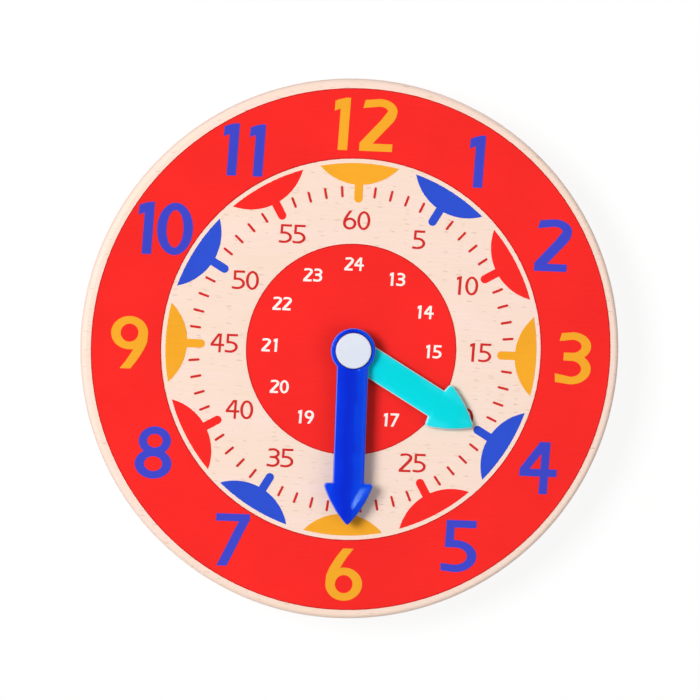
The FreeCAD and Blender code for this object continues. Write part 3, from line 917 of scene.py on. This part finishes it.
@dataclass(frozen=True)
class ClearPlastic(Finish):
    """Clear moulded sheet with a hint of blue and faint flow lines."""

    tint: Colour = srgb(246, 250, 253)
    flow_tint: Colour = (0.9, 0.95, 1.0, 1.0)
    flow_share: float = 0.3
    roughness: float = 0.03
    grit: float = 0.05
    clearness: float = 0.97
    refraction: float = 1.49

    def dress(self, tree: NodeTree, shader: Node, place: Socket) -> None:
        """Plain transmission, with fine scuffs in the roughness.

        Args:
            tree: Helper on the material's tree.
            shader: The Principled BSDF.
            place: Object coordinates.
        """
        scuff = MOTTLE.placed(tree, place, Patch=9.0, Grain=0.4)
        colour = tree.mix(tree.times(scuff["Tone"], self.flow_share), self.tint, self.flow_tint)
        tree.feed(shader, Base_Color=colour, Roughness=tree.lifted(self.roughness, scuff["Grit"], self.grit),
                  Transmission_Weight=self.clearness, IOR=self.refraction,
                  Normal=tree.bump(scuff["Height"], depth=0.05, strength=0.5))


@dataclass(frozen=True)
class TurnedSteel(Finish):
    """Steel with fine rings from turning, bright or zinc plated."""

    colour: Colour
    roughness: float
    ring: float = 0.16
    ring_roughness: float = 0.14
    patch_shade: float = 0.82

    def dress(self, tree: NodeTree, shader: Node, place: Socket) -> None:
        """Roughness varies in thin layers along Z, and the tone in soft patches.

        Args:
            tree: Helper on the material's tree.
            shader: The Principled BSDF.
            place: Object coordinates.
        """
        layer = tree.vector_of(Z=tree.over(tree.parts(place)[2], self.ring * MM))
        rings = tree.noise("3D", Vector=layer, Scale=1.0, Detail=2.0)
        patch = MOTTLE.placed(tree, place, Patch=4.0, Grain=0.2)
        colour = tree.mix(patch["Tone"], self.colour, darkened(self.colour, self.patch_shade))
        rough = tree.lifted(self.roughness, rings, self.ring_roughness)
        tree.feed(shader, Base_Color=colour, Roughness=rough, Metallic=1.0,
                  Normal=tree.bump(rings, depth=0.01, strength=0.6))


def print_rims(node: str) -> tuple[float, ...]:
    """Radii in millimetres of a print's round borders: its outer one, and its inner one if wide.

    Args:
        node: The print's node.

    Returns:
        The radii.
    """
    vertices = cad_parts[node].data.vertices
    places = np.empty(3 * len(vertices), np.float32)
    vertices.foreach_get("co", places)
    radii = np.hypot(*places.astype(np.float64).reshape(-1, 3)[:, :2].T) / MM
    outer, inner = float(radii.max()), float(radii.min())
    return (outer, inner) if inner > outer / 2 else (outer,)


def satin_acetal(slot: Slot, colour: Colour) -> MouldedPlastic:
    """Acetal of gears and bushes, named as its slot."""
    return MouldedPlastic(slot.value, slot, colour, roughness=0.34, patch=6.0)


BEECH = BeechPly("beech_ply_lacquered", Slot.BEECH)
RED_INK = ScreenInk("red_screen_ink", Slot.INK_RED, srgb(254, 42, 38))
RED_INK_BAND = replace(RED_INK, name="red_screen_ink_band", rims=print_rims("hour_band_print"))
RED_INK_DISC = replace(RED_INK, name="red_screen_ink_disc", rims=print_rims("centre_disc_print"))
BLUE_INK = ScreenInk("blue_screen_ink", Slot.INK_BLUE, srgb(47, 82, 212))
BLUE_INK_ON_RED = ScreenInk("blue_screen_ink_on_red", Slot.INK_BLUE, srgb(64, 72, 204))
YELLOW_INK = ScreenInk("yellow_screen_ink", Slot.INK_YELLOW, srgb(253, 174, 42))
DARK_RED_INK = ScreenInk("dark_red_screen_ink", Slot.INK_DARK_RED, srgb(216, 46, 42))
WHITE_INK = ScreenInk("white_screen_ink", Slot.INK_WHITE, srgb(255, 250, 243))
# Painted light in the hand's colour: the across stops paint one side lighter, rim is a pale painted highlight
# on the edges, and groove is painted shade in the cap's groove.
BLUE_HAND = PaintedLightPlastic(
    "blue_gloss_moulding", Slot.BLUE_HAND, rim=srgb(150, 165, 255), groove=srgb(0, 20, 130),
    across=((-1.2, srgb(0, 76, 238)), (-0.85, srgb(0, 70, 231)), (-0.4, srgb(0, 62, 226)),
            (-0.1, srgb(0, 45, 213)), (0.3, srgb(0, 40, 209)), (0.75, srgb(0, 48, 220)),
            (1.2, srgb(0, 64, 232))))
# Painted light as on the blue hand: a lighter side, a pale painted highlight on the edges, and painted shade
# in the mouth's groove.
TEAL_HAND = PaintedLightPlastic(
    "teal_gloss_moulding", Slot.TEAL_HAND, rim=srgb(225, 250, 250), groove=srgb(0, 160, 175),
    rim_highlight_strength=0.85,
    across=((-1.1, srgb(30, 224, 234)), (-0.5, srgb(0, 217, 226)), (0.5, srgb(0, 219, 228)),
            (1.1, srgb(34, 226, 238))))
CAP_WHITE = MouldedPlastic("white_satin_moulding", Slot.CAP, srgb(224, 228, 241), roughness=0.3,
                           gloss=0.35, relief=0.001)
WHITE_ACETAL = satin_acetal(Slot.WHITE_ACETAL, srgb(238, 238, 234))
YELLOW_ACETAL = satin_acetal(Slot.YELLOW_ACETAL, srgb(246, 190, 52))
RED_ACETAL = satin_acetal(Slot.RED_ACETAL, srgb(222, 52, 44))
CASE_GREY = MouldedPlastic("light_grey_textured_moulding", Slot.CASE, srgb(226, 228, 232),
                           roughness=0.5, grain=0.35, relief=0.02, patch=10.0)
CLEAR_SHEET = ClearPlastic("clear_cover_moulding", Slot.CLEAR)
ZINC = TurnedSteel("zinc_plated_screws", Slot.ZINC, srgb(208, 210, 214), roughness=0.24)
BRIGHT_STEEL = TurnedSteel("bright_drawn_steel", Slot.STEEL, srgb(190, 192, 196), roughness=0.2)


# Pieces


def add_object(name: str, data: bpy.types.ID) -> bpy.types.Object:
    """Put a mesh, a lamp or a camera into the scene as a new object at the origin.

    Args:
        name: Name of the object.
        data: Its mesh, lamp or camera.

    Returns:
        The new object.
    """
    new = bpy.data.objects.new(name, data)
    bpy.context.scene.collection.objects.link(new)
    return new


def dress(piece: bpy.types.Object, finish: Finish) -> None:
    """Give a piece one finish, in place of any it had."""
    piece.data.materials.clear()
    piece.data.materials.append(finish.material())


def new_piece(name: str, mesh: bpy.types.Mesh, body: Body, finish: Finish, *nodes: str,
              sharp: float = 40.0) -> bpy.types.Object:
    """Add a finished piece that stands for some nodes and rides on their body.

    Args:
        name: Name of the piece.
        mesh: Its mesh, with its place in it.
        body: The body that it rides on.
        finish: Its finish.
        nodes: The nodes that it replaces.
        sharp: Edges that turn by more than this many degrees stay sharp.

    Returns:
        The new object.
    """
    mesh.shade_smooth()
    mesh.set_sharp_from_angle(angle=math.radians(sharp))
    piece = add_object(name, mesh)
    dress(piece, finish)
    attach(piece, body.value)
    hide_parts(*nodes)
    LOG.info("%s rides on %s with %d points", name, body.value, len(mesh.vertices))
    return piece


def dress_node(node: str, finish: Finish) -> None:
    """Keep a node's own shape and give it a finish.

    Args:
        node: The node.
        finish: The finish.
    """
    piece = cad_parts[node]
    dress(piece, finish)
    LOG.info("%s keeps its shape, finished in %s", node, finish.name)


def softened(node: str, body: Body, finish: Finish, edge: Edge, keep_flat: float = 30.0) -> None:
    """Copy a node's shape with its sharp edges rounded, as they come out of a mould or a lathe.

    The copy's loose triangles are welded and its flat faces are made whole first, so that the
    bevel only meets real edges.

    Args:
        node: The node.
        body: Its body.
        finish: Its finish.
        edge: Width of the rounding.
        keep_flat: Edges that turn by less than this many degrees aren't rounded.
    """
    work = bmesh.new()
    work.from_mesh(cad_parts[node].data)
    bmesh.ops.remove_doubles(work, verts=work.verts, dist=WELD_GAP)
    bmesh.ops.dissolve_limit(work, angle_limit=FLAT_WITHIN, verts=work.verts, edges=work.edges)
    mesh = bpy.data.meshes.new(node + "_softened")
    work.to_mesh(mesh)
    work.free()
    piece = new_piece(node + "_moulded", mesh, body, finish, node, sharp=keep_flat)
    bevel = piece.modifiers.new("edge", "BEVEL")
    bevel.width = edge.value * MM
    bevel.segments = 2
    bevel.limit_method = "ANGLE"
    bevel.angle_limit = math.radians(keep_flat)
    bevel.use_clamp_overlap = True
    bevel.harden_normals = True


@dataclass
class DialBoard:
    """The beech board and everything printed on it."""

    edge_round: float = 1.8
    hole_round: float = 0.15
    hole_radius: float = 5.0
    segments: int = 360
    corner_points: int = 10
    node: str = "dial_board"
    prints: dict[str, Finish] = field(default_factory=lambda: {
        "hour_band_print": RED_INK_BAND,
        "centre_disc_print": RED_INK_DISC,
        "half_suns_red_print": RED_INK,
        "half_suns_blue_print": BLUE_INK,
        "half_suns_yellow_print": YELLOW_INK,
        "minute_ticks_print": DARK_RED_INK,
        "minute_numerals_print": DARK_RED_INK,
        "hour_numerals_yellow_print": YELLOW_INK,
        "hour_numerals_blue_print": BLUE_INK_ON_RED,
        "day_hour_numerals_print": WHITE_INK,
    })

    def build(self) -> None:
        """Turn the board from its profile and dress the prints."""
        low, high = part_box(self.node)
        radius = (high.x - low.x) / 2 / MM
        bottom, top = low.z / MM, high.z / MM
        profile = turned_profile([
            (self.hole_radius, bottom, self.hole_round), (radius, bottom, self.edge_round),
            (radius, top, self.edge_round), (self.hole_radius, top, self.hole_round)], self.corner_points)
        surface = Surface()
        surface.add_grid(turn_about_axis(profile * MM, self.segments), closed=True)
        new_piece("beech_board", surface.mesh("beech_board"), Body.CLOCK, BEECH, self.node)
        for node, finish in self.prints.items():
            dress_node(node, finish)


@dataclass(frozen=True)
class HandCounts:
    """Points along each stretch of a hand's half outline, and rows of each stretch of its profile."""

    boss: int = 60
    plain_end: int = 36
    neck: int = 8
    side: int = 70
    inner_corner: int = 8
    shelf: int = 6
    corner: int = 16
    flank: int = 56
    nose: int = 10
    dome_rows: int = 16
    edge_rows: int = 9
    foot_rows: int = 4
    under_rows: int = 5


@dataclass
class ArrowHand:
    """A moulded arrow hand: a domed profile carried round the outline of an arrow.

    All sizes are millimetres in the hand's own plane, pointing to +Y before it is turned to
    its place. The outline's right half runs from the back of the boss to the nose. Each
    outline point has a partner on the spine, which is the seat's or the bore's circle near
    the boss and the centre line beyond it, and the surface runs from the one to the other.
    The spine's way through the head starts head_lead inner corners before it and ends
    nose_gap nose radii short of the nose.
    """

    name: str
    node: str
    body: Body
    finish: Finish
    clock_angle: float
    half_width: float
    boss_radius: float
    head_start: float
    length: float
    barb: float
    barb_rise: float
    mouth_radius: float
    mouth_chamfer: float
    bore_radius: float
    seat_floor: float | None = None
    mouth_depth: float = 0.7
    head_bulge: float = 1.0
    corner_radius: float = 1.2
    nose_radius: float = 1.0
    inner_corner: float = 0.35
    neck_radius: float = 1.0
    edge_round: float = 0.9
    foot_round: float = 0.2
    dome: float = 0.45
    full_reach: float = 4.3
    head_lead: float = 3.0
    nose_gap: float = 1.6
    # Angle and fade of the painted highlight on the rounded edge, and the drop down the side over which it
    # fades out.
    highlight_start: float = math.radians(58)
    highlight_fade: float = 0.35
    rim_drop: float = 0.4
    counts: HandCounts = HandCounts()

    def build(self) -> None:
        """Make the hand at its resting angle."""
        mesh = self.surface().mesh(self.name)
        mesh.transform(Matrix.Rotation(-math.radians(self.clock_angle), 4, "Z"))
        new_piece(self.name, mesh, self.body, self.finish, self.node, sharp=50.0)

    def head_slopes(self) -> tuple[np.ndarray, np.ndarray, float]:
        """Geometry of the right flank, an arc from the barb's corner to the sharp point.

        The arc leaves its chord by twice the arctangent of twice the bulge over the chord.

        Returns:
            Barb corner, chord from it to the sharp point, and the angle between chord and tangent.
        """
        barb = np.array([self.barb, self.head_start + self.barb_rise])
        head = self.length - barb[1]
        lean = 2 * math.atan(2 * self.head_bulge / math.hypot(self.barb, head))
        half_angle = math.atan2(self.barb, head) + lean
        point = np.array([0.0, self.length + self.nose_radius * (1 / math.sin(half_angle) - 1)])
        return barb, point - barb, lean

    def round_end(self) -> tuple[np.ndarray, float]:
        """Back of the outline: an arc, and a small neck where the boss is wider than the hand.

        Returns:
            The points, and the height at which the straight side starts.
        """
        back = -math.pi / 2
        if self.boss_radius <= self.half_width:
            return arc(np.zeros(2), self.boss_radius, back, 0.0, self.counts.plain_end), 0.0
        reach = self.half_width + self.neck_radius
        rise = math.sqrt((self.boss_radius + self.neck_radius) ** 2 - reach ** 2)
        meet = math.atan2(rise, reach)
        boss = arc(np.zeros(2), self.boss_radius, back, meet, self.counts.boss)
        neck = arc(np.array([reach, rise]), self.neck_radius, meet - math.pi, -math.pi, self.counts.neck)
        return np.vstack([boss, neck[1:]]), rise

    def right_outline(self) -> np.ndarray:
        """Right half of the outline: round end, side, shelf under the head, flank and nose.

        Returns:
            The points, from the back of the boss to the nose.
        """
        barb, chord, lean = self.head_slopes()
        along = unit(*chord)
        spin = np.array([[math.cos(lean), math.sin(lean)], [-math.sin(lean), math.cos(lean)]])
        flank_start, flank_end = spin @ along, spin.T @ along
        outward = unit(self.barb - self.half_width, self.barb_rise)
        round_end, rise = self.round_end()
        inner = corner_arc(np.array([self.half_width, self.head_start]), np.array([0.0, 1.0]), outward,
                           self.inner_corner, self.counts.inner_corner)
        height = steps(rise, inner[0, 1], self.counts.side)[1:-1]
        side = np.stack([np.full_like(height, self.half_width), height], axis=-1)
        corner = corner_arc(barb, outward, flank_start, self.corner_radius, self.counts.corner)
        share = steps(0.0, 1.0, self.counts.shelf)[1:-1, None]
        shelf = inner[-1] + share * (corner[0] - inner[-1])
        nose = arc(np.array([0.0, self.length - self.nose_radius]), self.nose_radius,
                   math.atan2(-flank_end[0], flank_end[1]), math.pi / 2, self.counts.nose)
        flank_radius = math.hypot(*chord) / (2 * math.sin(lean))
        flank = swelling_arc(corner[-1], nose[0], flank_radius, self.counts.flank)
        return np.vstack([round_end, side, inner, shelf, corner, flank[1:-1], nose])

    def mouth_end(self, right: np.ndarray) -> int:
        """Index of the first point of the right outline that lies in front of the mouth."""
        return int(np.argmax(right[:, 1] > self.mouth_radius))

    def spine(self, right: np.ndarray, circle: float) -> np.ndarray:
        """Partner of each point of the right outline.

        Up to the front of the mouth the partners go round a circle by the share of the
        outline's length; then they go up the centre line at the outline's own height; and
        in the head they share out the rest of the centre line by the outline's length.

        Args:
            right: Right half of the outline.
            circle: Radius of the circle at the boss.

        Returns:
            Partner points, as many as the outline has.
        """
        run = np.concatenate([[0.0], np.cumsum(np.hypot(*np.diff(right, axis=0).T))])
        number = np.arange(len(run))
        mouth_end = self.mouth_end(right)
        head = int(np.argmax(right[:, 1] > self.head_start - self.head_lead * self.inner_corner))
        angle = -math.pi / 2 + math.pi * np.minimum(run / run[mouth_end], 1.0)
        round_mouth = circle * np.stack([np.cos(angle), np.sin(angle)], axis=-1)
        last = self.length - self.nose_gap * self.nose_radius
        share = np.clip((run - run[head]) / (run[-1] - run[head]), 0.0, 1.0)
        height = np.where(number < head, right[:, 1], right[head, 1] + (last - right[head, 1]) * share)
        centre_line = np.stack([np.zeros_like(height), np.maximum(height, circle)], axis=-1)
        return np.where((number <= mouth_end)[:, None], round_mouth, centre_line)

    def whole(self, right: np.ndarray) -> np.ndarray:
        """Both halves of the outline as one closed row: the right one, then its mirror image."""
        return np.vstack([right, (right * [-1.0, 1.0])[-2:0:-1]])

    def surface(self) -> Surface:
        """The closed surface of the hand, pointing to +Y, with the marks that its finish reads.

        From the spine outwards come the dome, the rounded upper edge, which starts at the
        dome's own slope, the side, the small rounding of the foot, and the flat underside
        back to the bore. The rim mark, which lays a painted highlight, rises from 0 to 1 round
        the upper edge and falls back to 0 over rim_drop of the side. It is -1 in the mouth, where
        it lays painted shade. The across mark sets where the finish paints one side lighter.

        Returns:
            The surface in metres.
        """
        low, high = (corner.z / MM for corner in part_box(self.node))
        right = self.right_outline()
        outline = self.whole(right)
        ahead = np.roll(outline, -1, axis=0) - np.roll(outline, 1, axis=0)
        outward = np.stack([ahead[:, 1], -ahead[:, 0]], axis=-1) / np.hypot(*ahead.T)[:, None]
        swing = math.pi / 2 - math.atan(2 * self.dome / self.half_width)
        shoulder = high - self.dome
        top = self.top(right, outward, swing, shoulder)
        angle = steps(swing, 0.0, self.counts.edge_rows)[1:]
        drop = self.edge_round * (math.sin(swing) - np.sin(angle))
        edge = self.rounding(outline, outward, self.edge_round, angle, shoulder - drop)
        wall = edge[-1:] - [0.0, 0.0, self.rim_drop]
        turn = steps(0.0, math.pi / 2, self.counts.foot_rows)
        rise = self.foot_round * (1 - np.sin(turn))
        foot = self.rounding(outline, outward, self.foot_round, turn, low + rise)
        bore = self.whole(self.spine(right, self.bore_radius))
        share = steps(0.0, 1.0, self.counts.under_rows)[1:, None, None]
        under = at_height(foot[-1, :, :2] + share * (bore - foot[-1, :, :2]), low)
        shell = np.concatenate([top, edge, wall, foot, under])
        rim = np.zeros(shell.shape[:2])
        # Share of the painted highlight on each row of the rounded edge.
        glow = np.clip((self.highlight_start - angle) / self.highlight_fade, 0.0, 1.0)
        rim[len(top):len(top) + len(edge)] = glow[:, None]
        mouth = self.mouth(right, top[0], low)
        # The mouth's rows carry -1, which lays painted shade in the groove.
        groove = np.full(mouth.shape[:2], -1.0)
        groove[0] = 0.0
        surface = Surface()
        for grid, mark in ((shell, rim), (mouth, groove)):
            surface.add_grid(grid * MM, closed=True, rim=mark, across=grid[..., 0] / self.half_width)
        return surface

    def top(self, right: np.ndarray, outward: np.ndarray, swing: float, shoulder: float) -> np.ndarray:
        """The dome, from the spine to the start of the rounded edge.

        Its height is a parabola in the share of the way. The parabola's own height goes with
        the square of the spine's distance from the outline up to full_reach, and stays level
        beyond it.

        Args:
            right: Right half of the outline.
            outward: Outward direction at each point of the whole outline.
            swing: Angle that the rounded edge turns through.
            shoulder: Height of the start of the rounded edge.

        Returns:
            Grid of points, rows from the spine to the edge.
        """
        outline = self.whole(right)
        spine = self.whole(self.spine(right, self.mouth_radius + self.mouth_chamfer))
        reach = np.min(np.hypot(*(spine[:, None] - outline[None]).transpose(2, 0, 1)), axis=1)
        inset = self.edge_round * (1 - math.cos(swing))
        crest = self.dome * (np.maximum(reach - inset, 0.0) / (self.full_reach - inset)) ** 2
        crest = np.minimum(crest, self.dome)[:, None]
        seam = outline - outward * inset
        share = steps(1.0, 0.0, self.counts.dome_rows)[:, None, None]
        return at_height(seam + share * (spine - seam), shoulder + crest * (1 - (1 - share) ** 2))

    @staticmethod
    def rounding(outline: np.ndarray, outward: np.ndarray, radius: float, angle: np.ndarray,
                 level: np.ndarray) -> np.ndarray:
        """Rows of a rounded edge: the outline drawn in by radius times (1 - cos angle).

        Args:
            outline: The whole outline.
            outward: Outward direction at each of its points.
            radius: Radius of the rounding.
            angle: Angle of each row from the side.
            level: Height of each row.

        Returns:
            Grid of points, a row for each angle.
        """
        drawn_in = outline - outward * radius * (1 - np.cos(angle[:, None, None]))
        return at_height(drawn_in, level[:, None, None])

    def mouth(self, right: np.ndarray, rim: np.ndarray, low: float) -> np.ndarray:
        """The inner wall, from the rim of the mouth down to the bore at the underside.

        Args:
            right: Right half of the outline.
            rim: Innermost row of the top surface.
            low: Height of the underside.

        Returns:
            Grid of points over the part of the row that goes round the mouth.
        """
        count = self.mouth_end(right) + 1
        rim = rim[np.r_[0:count, len(rim) - count + 2:len(rim)]]
        circle = rim[:, :2] / np.hypot(*rim[:, :2].T)[:, None]
        walls = [(self.mouth_radius, rim[:, 2:] - self.mouth_depth)]
        if self.seat_floor is not None:
            walls += [(self.mouth_radius, self.seat_floor), (self.bore_radius, self.seat_floor)]
        walls.append((self.bore_radius, low))
        return np.stack([rim] + [at_height(circle * radius, level) for radius, level in walls])


@dataclass
class CentreCap:
    """The white snap-in cap, a shallow dome with a hollow underside."""

    node: str = "centre_cap"
    radius: float = 6.6
    wall: float = 1.2
    rise: float = 0.18
    edge_round: float = 0.55
    segments: int = 128
    dome_points: int = 14
    edge_points: int = 8

    def profile(self) -> np.ndarray:
        """Outline from the top's centre to the hollow's: domed top, rounded rim, skirt, hollow.

        The dome's height falls with the square of the radius.

        Returns:
            (radius, height) points in millimetres.
        """
        low, high = (corner.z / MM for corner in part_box(self.node))
        radius = steps(0.0, self.radius - self.edge_round, self.dome_points)
        dome = np.stack([radius, high - self.rise * (radius / self.radius) ** 2], axis=-1)
        rim = arc(np.array([radius[-1], dome[-1, 1] - self.edge_round]), self.edge_round,
                  math.pi / 2, 0.0, self.edge_points)
        inner, ceiling = self.radius - self.wall, high - self.wall
        skirt = np.array([(self.radius, low), (inner, low), (inner, ceiling), (0.0, ceiling)])
        return np.vstack([dome, rim[1:], skirt])

    def build(self) -> None:
        """Turn the cap from its profile."""
        surface = Surface()
        surface.add_grid(turn_about_axis(self.profile() * MM, self.segments), closed=True)
        new_piece("hand_cap", surface.mesh("hand_cap"), Body.MINUTE, CAP_WHITE, self.node)


@dataclass
class GearWork:
    """Case, cover, screws and the gear train behind the board."""

    parts: tuple[tuple[str, Body, Finish, Edge], ...] = (
        ("gear_case", Body.CLOCK, CASE_GREY, Edge.MOULDED),
        ("rear_cover", Body.CLOCK, CLEAR_SHEET, Edge.MOULDED),
        ("case_screws", Body.CLOCK, ZINC, Edge.FINE),
        ("cover_screws", Body.CLOCK, ZINC, Edge.FINE),
        ("dial_bush", Body.CLOCK, WHITE_ACETAL, Edge.FINE),
        ("idler_stud", Body.CLOCK, BRIGHT_STEEL, Edge.FINE),
        ("minute_arbor", Body.MINUTE, BRIGHT_STEEL, Edge.FINE),
        ("cannon_pinion", Body.MINUTE, WHITE_ACETAL, Edge.FINE),
        ("hand_screw", Body.MINUTE, ZINC, Edge.FINE),
        ("hand_spacer", Body.MINUTE, WHITE_ACETAL, Edge.FINE),
        ("idler_gear", Body.IDLER, YELLOW_ACETAL, Edge.FINE),
        ("hour_wheel", Body.WHEEL, RED_ACETAL, Edge.FINE),
    )

    def build(self) -> None:
        """Soften the moulded and turned pieces; the washer stays as stamped."""
        for node, body, finish, edge in self.parts:
            softened(node, body, finish, edge)
        dress_node("spring_washer", BRIGHT_STEEL)


# Studio


@dataclass(frozen=True)
class Lamp:
    """A softbox: where it stands, its size and its light. Lengths are in metres.

    It stands at an azimuth round the dial's axis and an angle off that axis, in degrees.
    """

    name: str
    azimuth: float
    off_axis: float
    distance: float
    width: float
    height: float
    radiance: float
    colour: tuple[float, float, float] = (1.0, 1.0, 1.0)
    gloss_only: bool = False

    def build(self, target: Vector) -> None:
        """Add the lamp, facing the target, its width along the radius.

        Its watts are its radiance times its area times pi, so that a size change keeps
        its brightness as seen in a reflection.

        Args:
            target: The point that it faces.
        """
        light = bpy.data.lights.new(self.name, "AREA")
        light.shape = "RECTANGLE"
        light.size, light.size_y = self.width, self.height
        light.energy = self.radiance * self.width * self.height * math.pi
        light.color = self.colour
        lamp = add_object(self.name, light)
        turn, lean = math.radians(self.azimuth), math.radians(self.off_axis)
        away = Vector((math.cos(turn) * math.sin(lean), math.sin(turn) * math.sin(lean), math.cos(lean)))
        outward = Vector((math.cos(turn) * math.cos(lean), math.sin(turn) * math.cos(lean), -math.sin(lean)))
        lamp.location = target + away * self.distance
        lamp.rotation_mode = "QUATERNION"
        lamp.rotation_quaternion = Matrix((outward, away.cross(outward), away)).transposed().to_quaternion()
        lamp.visible_camera = False
        lamp.visible_diffuse = not self.gloss_only


@dataclass
class Studio:
    """White table, white surroundings, softboxes and the camera.

    The camera's distance, its clipping, the table's size and shade_reach are in metres, and
    angles are in degrees.
    """

    image_pixels: int = 700
    print_centre_px: tuple[float, float] = (351.15, 349.45)
    mm_per_pixel: float = 0.3717
    dial_turn: float = 2.5
    camera_left: float = 6.7
    camera_above: float = 4.0
    camera_distance: float = 5.0
    camera_clip: tuple[float, float] = (0.1, 50.0)
    sensor: float = 36.0
    light_above: float = 0.3
    light_below: float = 0.9
    light_change: tuple[float, float] = (-0.3, 0.0)
    floor_gap: float = 0.5
    floor_size: float = 6.0
    floor_shade: float = 0.13
    shade_reach: tuple[float, float] = (0.16, 0.4)
    lamps: tuple[Lamp, ...] = (
        Lamp("key_softbox", azimuth=163.0, off_axis=37.0, distance=3.6, width=1.3, height=1.4,
             radiance=18.95),
        Lamp("right_softbox", azimuth=-10.0, off_axis=35.0, distance=1.3, width=0.5, height=0.5,
             radiance=1.6),
        Lamp("small_window", azimuth=-32.7, off_axis=18.6, distance=1.4, width=0.15, height=0.05,
             radiance=80.0, colour=(0.4, 0.85, 1.0), gloss_only=True),
    )

    def build(self) -> None:
        """Build floor, world, lamps and camera."""
        face = Vector((0.0, 0.0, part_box("dial_board")[1].z))
        self.floor(CAD_BOX[0].z)
        self.world()
        for lamp in self.lamps:
            lamp.build(face)
        self.camera(face)
        bpy.context.scene.view_settings.view_transform = "Standard"

    def floor(self, level: float) -> None:
        """A white table: it shows its own white and, near the clock, a share of its shadow.

        Only rays that show it meet it. Diffuse rays pass through, so the clock's underside
        is lit by the surroundings, and from below the table is clear.

        Args:
            level: Height of the clock's lowest point.
        """
        half = self.floor_size / 2
        x, y = np.meshgrid([-half, half], [-half, half])
        surface = Surface()
        surface.add_grid(np.stack([x, y, 0 * x + level - self.floor_gap * MM], axis=-1))
        mesh = surface.mesh("white_table")
        if mesh.polygons[0].normal.z < 0:
            mesh.flip_normals()
        table = add_object("white_table", mesh)
        material = bpy.data.materials.new("white_table_top")
        tree = NodeTree.emptied(material)
        front = tree.minus(1.0, tree.add("NewGeometry").outputs["Backfacing"])
        glow = tree.feed(tree.add("Emission"), Color=WHITE, Strength=1.0)
        shaded = tree.feed(tree.add("BsdfDiffuse"), Color=WHITE)
        radius = tree.axis_distance(tree.add("TexCoord").outputs["Object"])
        share = tree.ramp(radius, *self.shade_reach, self.floor_shade, 0.0)
        seen = tree.mix_shaders(share, glow, shaded)
        whole = tree.mix_shaders(tree.times(tree.showing_rays(), front), tree.add("BsdfTransparent"), seen)
        tree.feed(tree.add("OutputMaterial"), Surface=whole.outputs[0])
        mesh.materials.append(material)

    def world(self) -> None:
        """White surroundings: full white where they are seen, softer as light.

        The lower half is lighter, as a white table would throw the light back.
        """
        world = bpy.data.worlds.new("white_room")
        tree = NodeTree.emptied(world)
        height = tree.parts(tree.add("TexCoord").outputs["Generated"])[2]
        level = tree.ramp(height, *self.light_change, self.light_below, self.light_above)
        strength = tree.math("MAXIMUM", tree.showing_rays(), level)
        light = tree.feed(tree.add("Background"), Color=WHITE, Strength=strength)
        tree.feed(tree.add("OutputWorld"), Surface=light.outputs[0])
        bpy.context.scene.world = world

    def camera(self, face: Vector) -> None:
        """Long-lens camera at the photograph's angle.

        It stands a little left of and above the dial's axis, as the image sees it, and is
        rolled so that the dial appears turned clockwise; the roll shares out the small skew
        that the slant brings. Its lens makes one pixel at the dial as large as the
        photograph's, on the mean of both slants. A small shift puts the print's centre where
        the photograph has it.

        Args:
            face: Centre of the dial's face.
        """
        roll = math.radians(self.dial_turn)
        image_right = Vector((math.cos(roll), math.sin(roll), 0.0))
        image_up = Vector((-math.sin(roll), math.cos(roll), 0.0))
        left, above = math.tan(math.radians(self.camera_left)), math.tan(math.radians(self.camera_above))
        away = (Vector((0.0, 0.0, 1.0)) - image_right * left + image_up * above).normalized()
        data = bpy.data.cameras.new("camera")
        data.sensor_width = self.sensor
        slant = (math.cos(math.atan(left)) + math.cos(math.atan(above))) / 2
        view_width = self.image_pixels * self.mm_per_pixel * MM * slant
        data.lens = self.sensor * self.camera_distance / view_width
        middle = self.image_pixels / 2
        data.shift_x = -(self.print_centre_px[0] - middle) / self.image_pixels
        data.shift_y = (self.print_centre_px[1] - middle) / self.image_pixels
        data.clip_start, data.clip_end = self.camera_clip
        camera = add_object("camera", data)
        side = image_up.cross(away).normalized()
        turn = Matrix((side, away.cross(side), away)).transposed() @ Matrix.Rotation(left * above / 2, 3, "Z")
        camera.matrix_world = Matrix.Translation(face + away * self.camera_distance) @ turn.to_4x4()
        bpy.context.scene.camera = camera


def main() -> None:
    """Build every sub-assembly, then the studio."""
    logging.basicConfig(level=logging.INFO, format="%(name)s: %(message)s")
    DialBoard().build()
    ArrowHand(
        name="hour_arrow_hand", node="hour_hand", body=Body.HOUR, finish=TEAL_HAND, clock_angle=120.0,
        half_width=5.6, boss_radius=5.6, head_start=37.3, length=53.4, barb=9.2, barb_rise=0.6,
        mouth_radius=2.63, mouth_chamfer=0.1, mouth_depth=0.1, bore_radius=2.63).build()
    ArrowHand(
        name="minute_arrow_hand", node="minute_hand", body=Body.MINUTE, finish=BLUE_HAND, clock_angle=179.3,
        half_width=5.8, boss_radius=8.3, head_start=49.1, length=64.5, barb=9.4, barb_rise=0.0,
        mouth_radius=6.6, mouth_chamfer=0.45, bore_radius=1.5, seat_floor=27.2,
        highlight_start=math.radians(50)).build()
    CentreCap().build()
    GearWork().build()
    Studio().build()


if __name__ == "__main__":
    main()
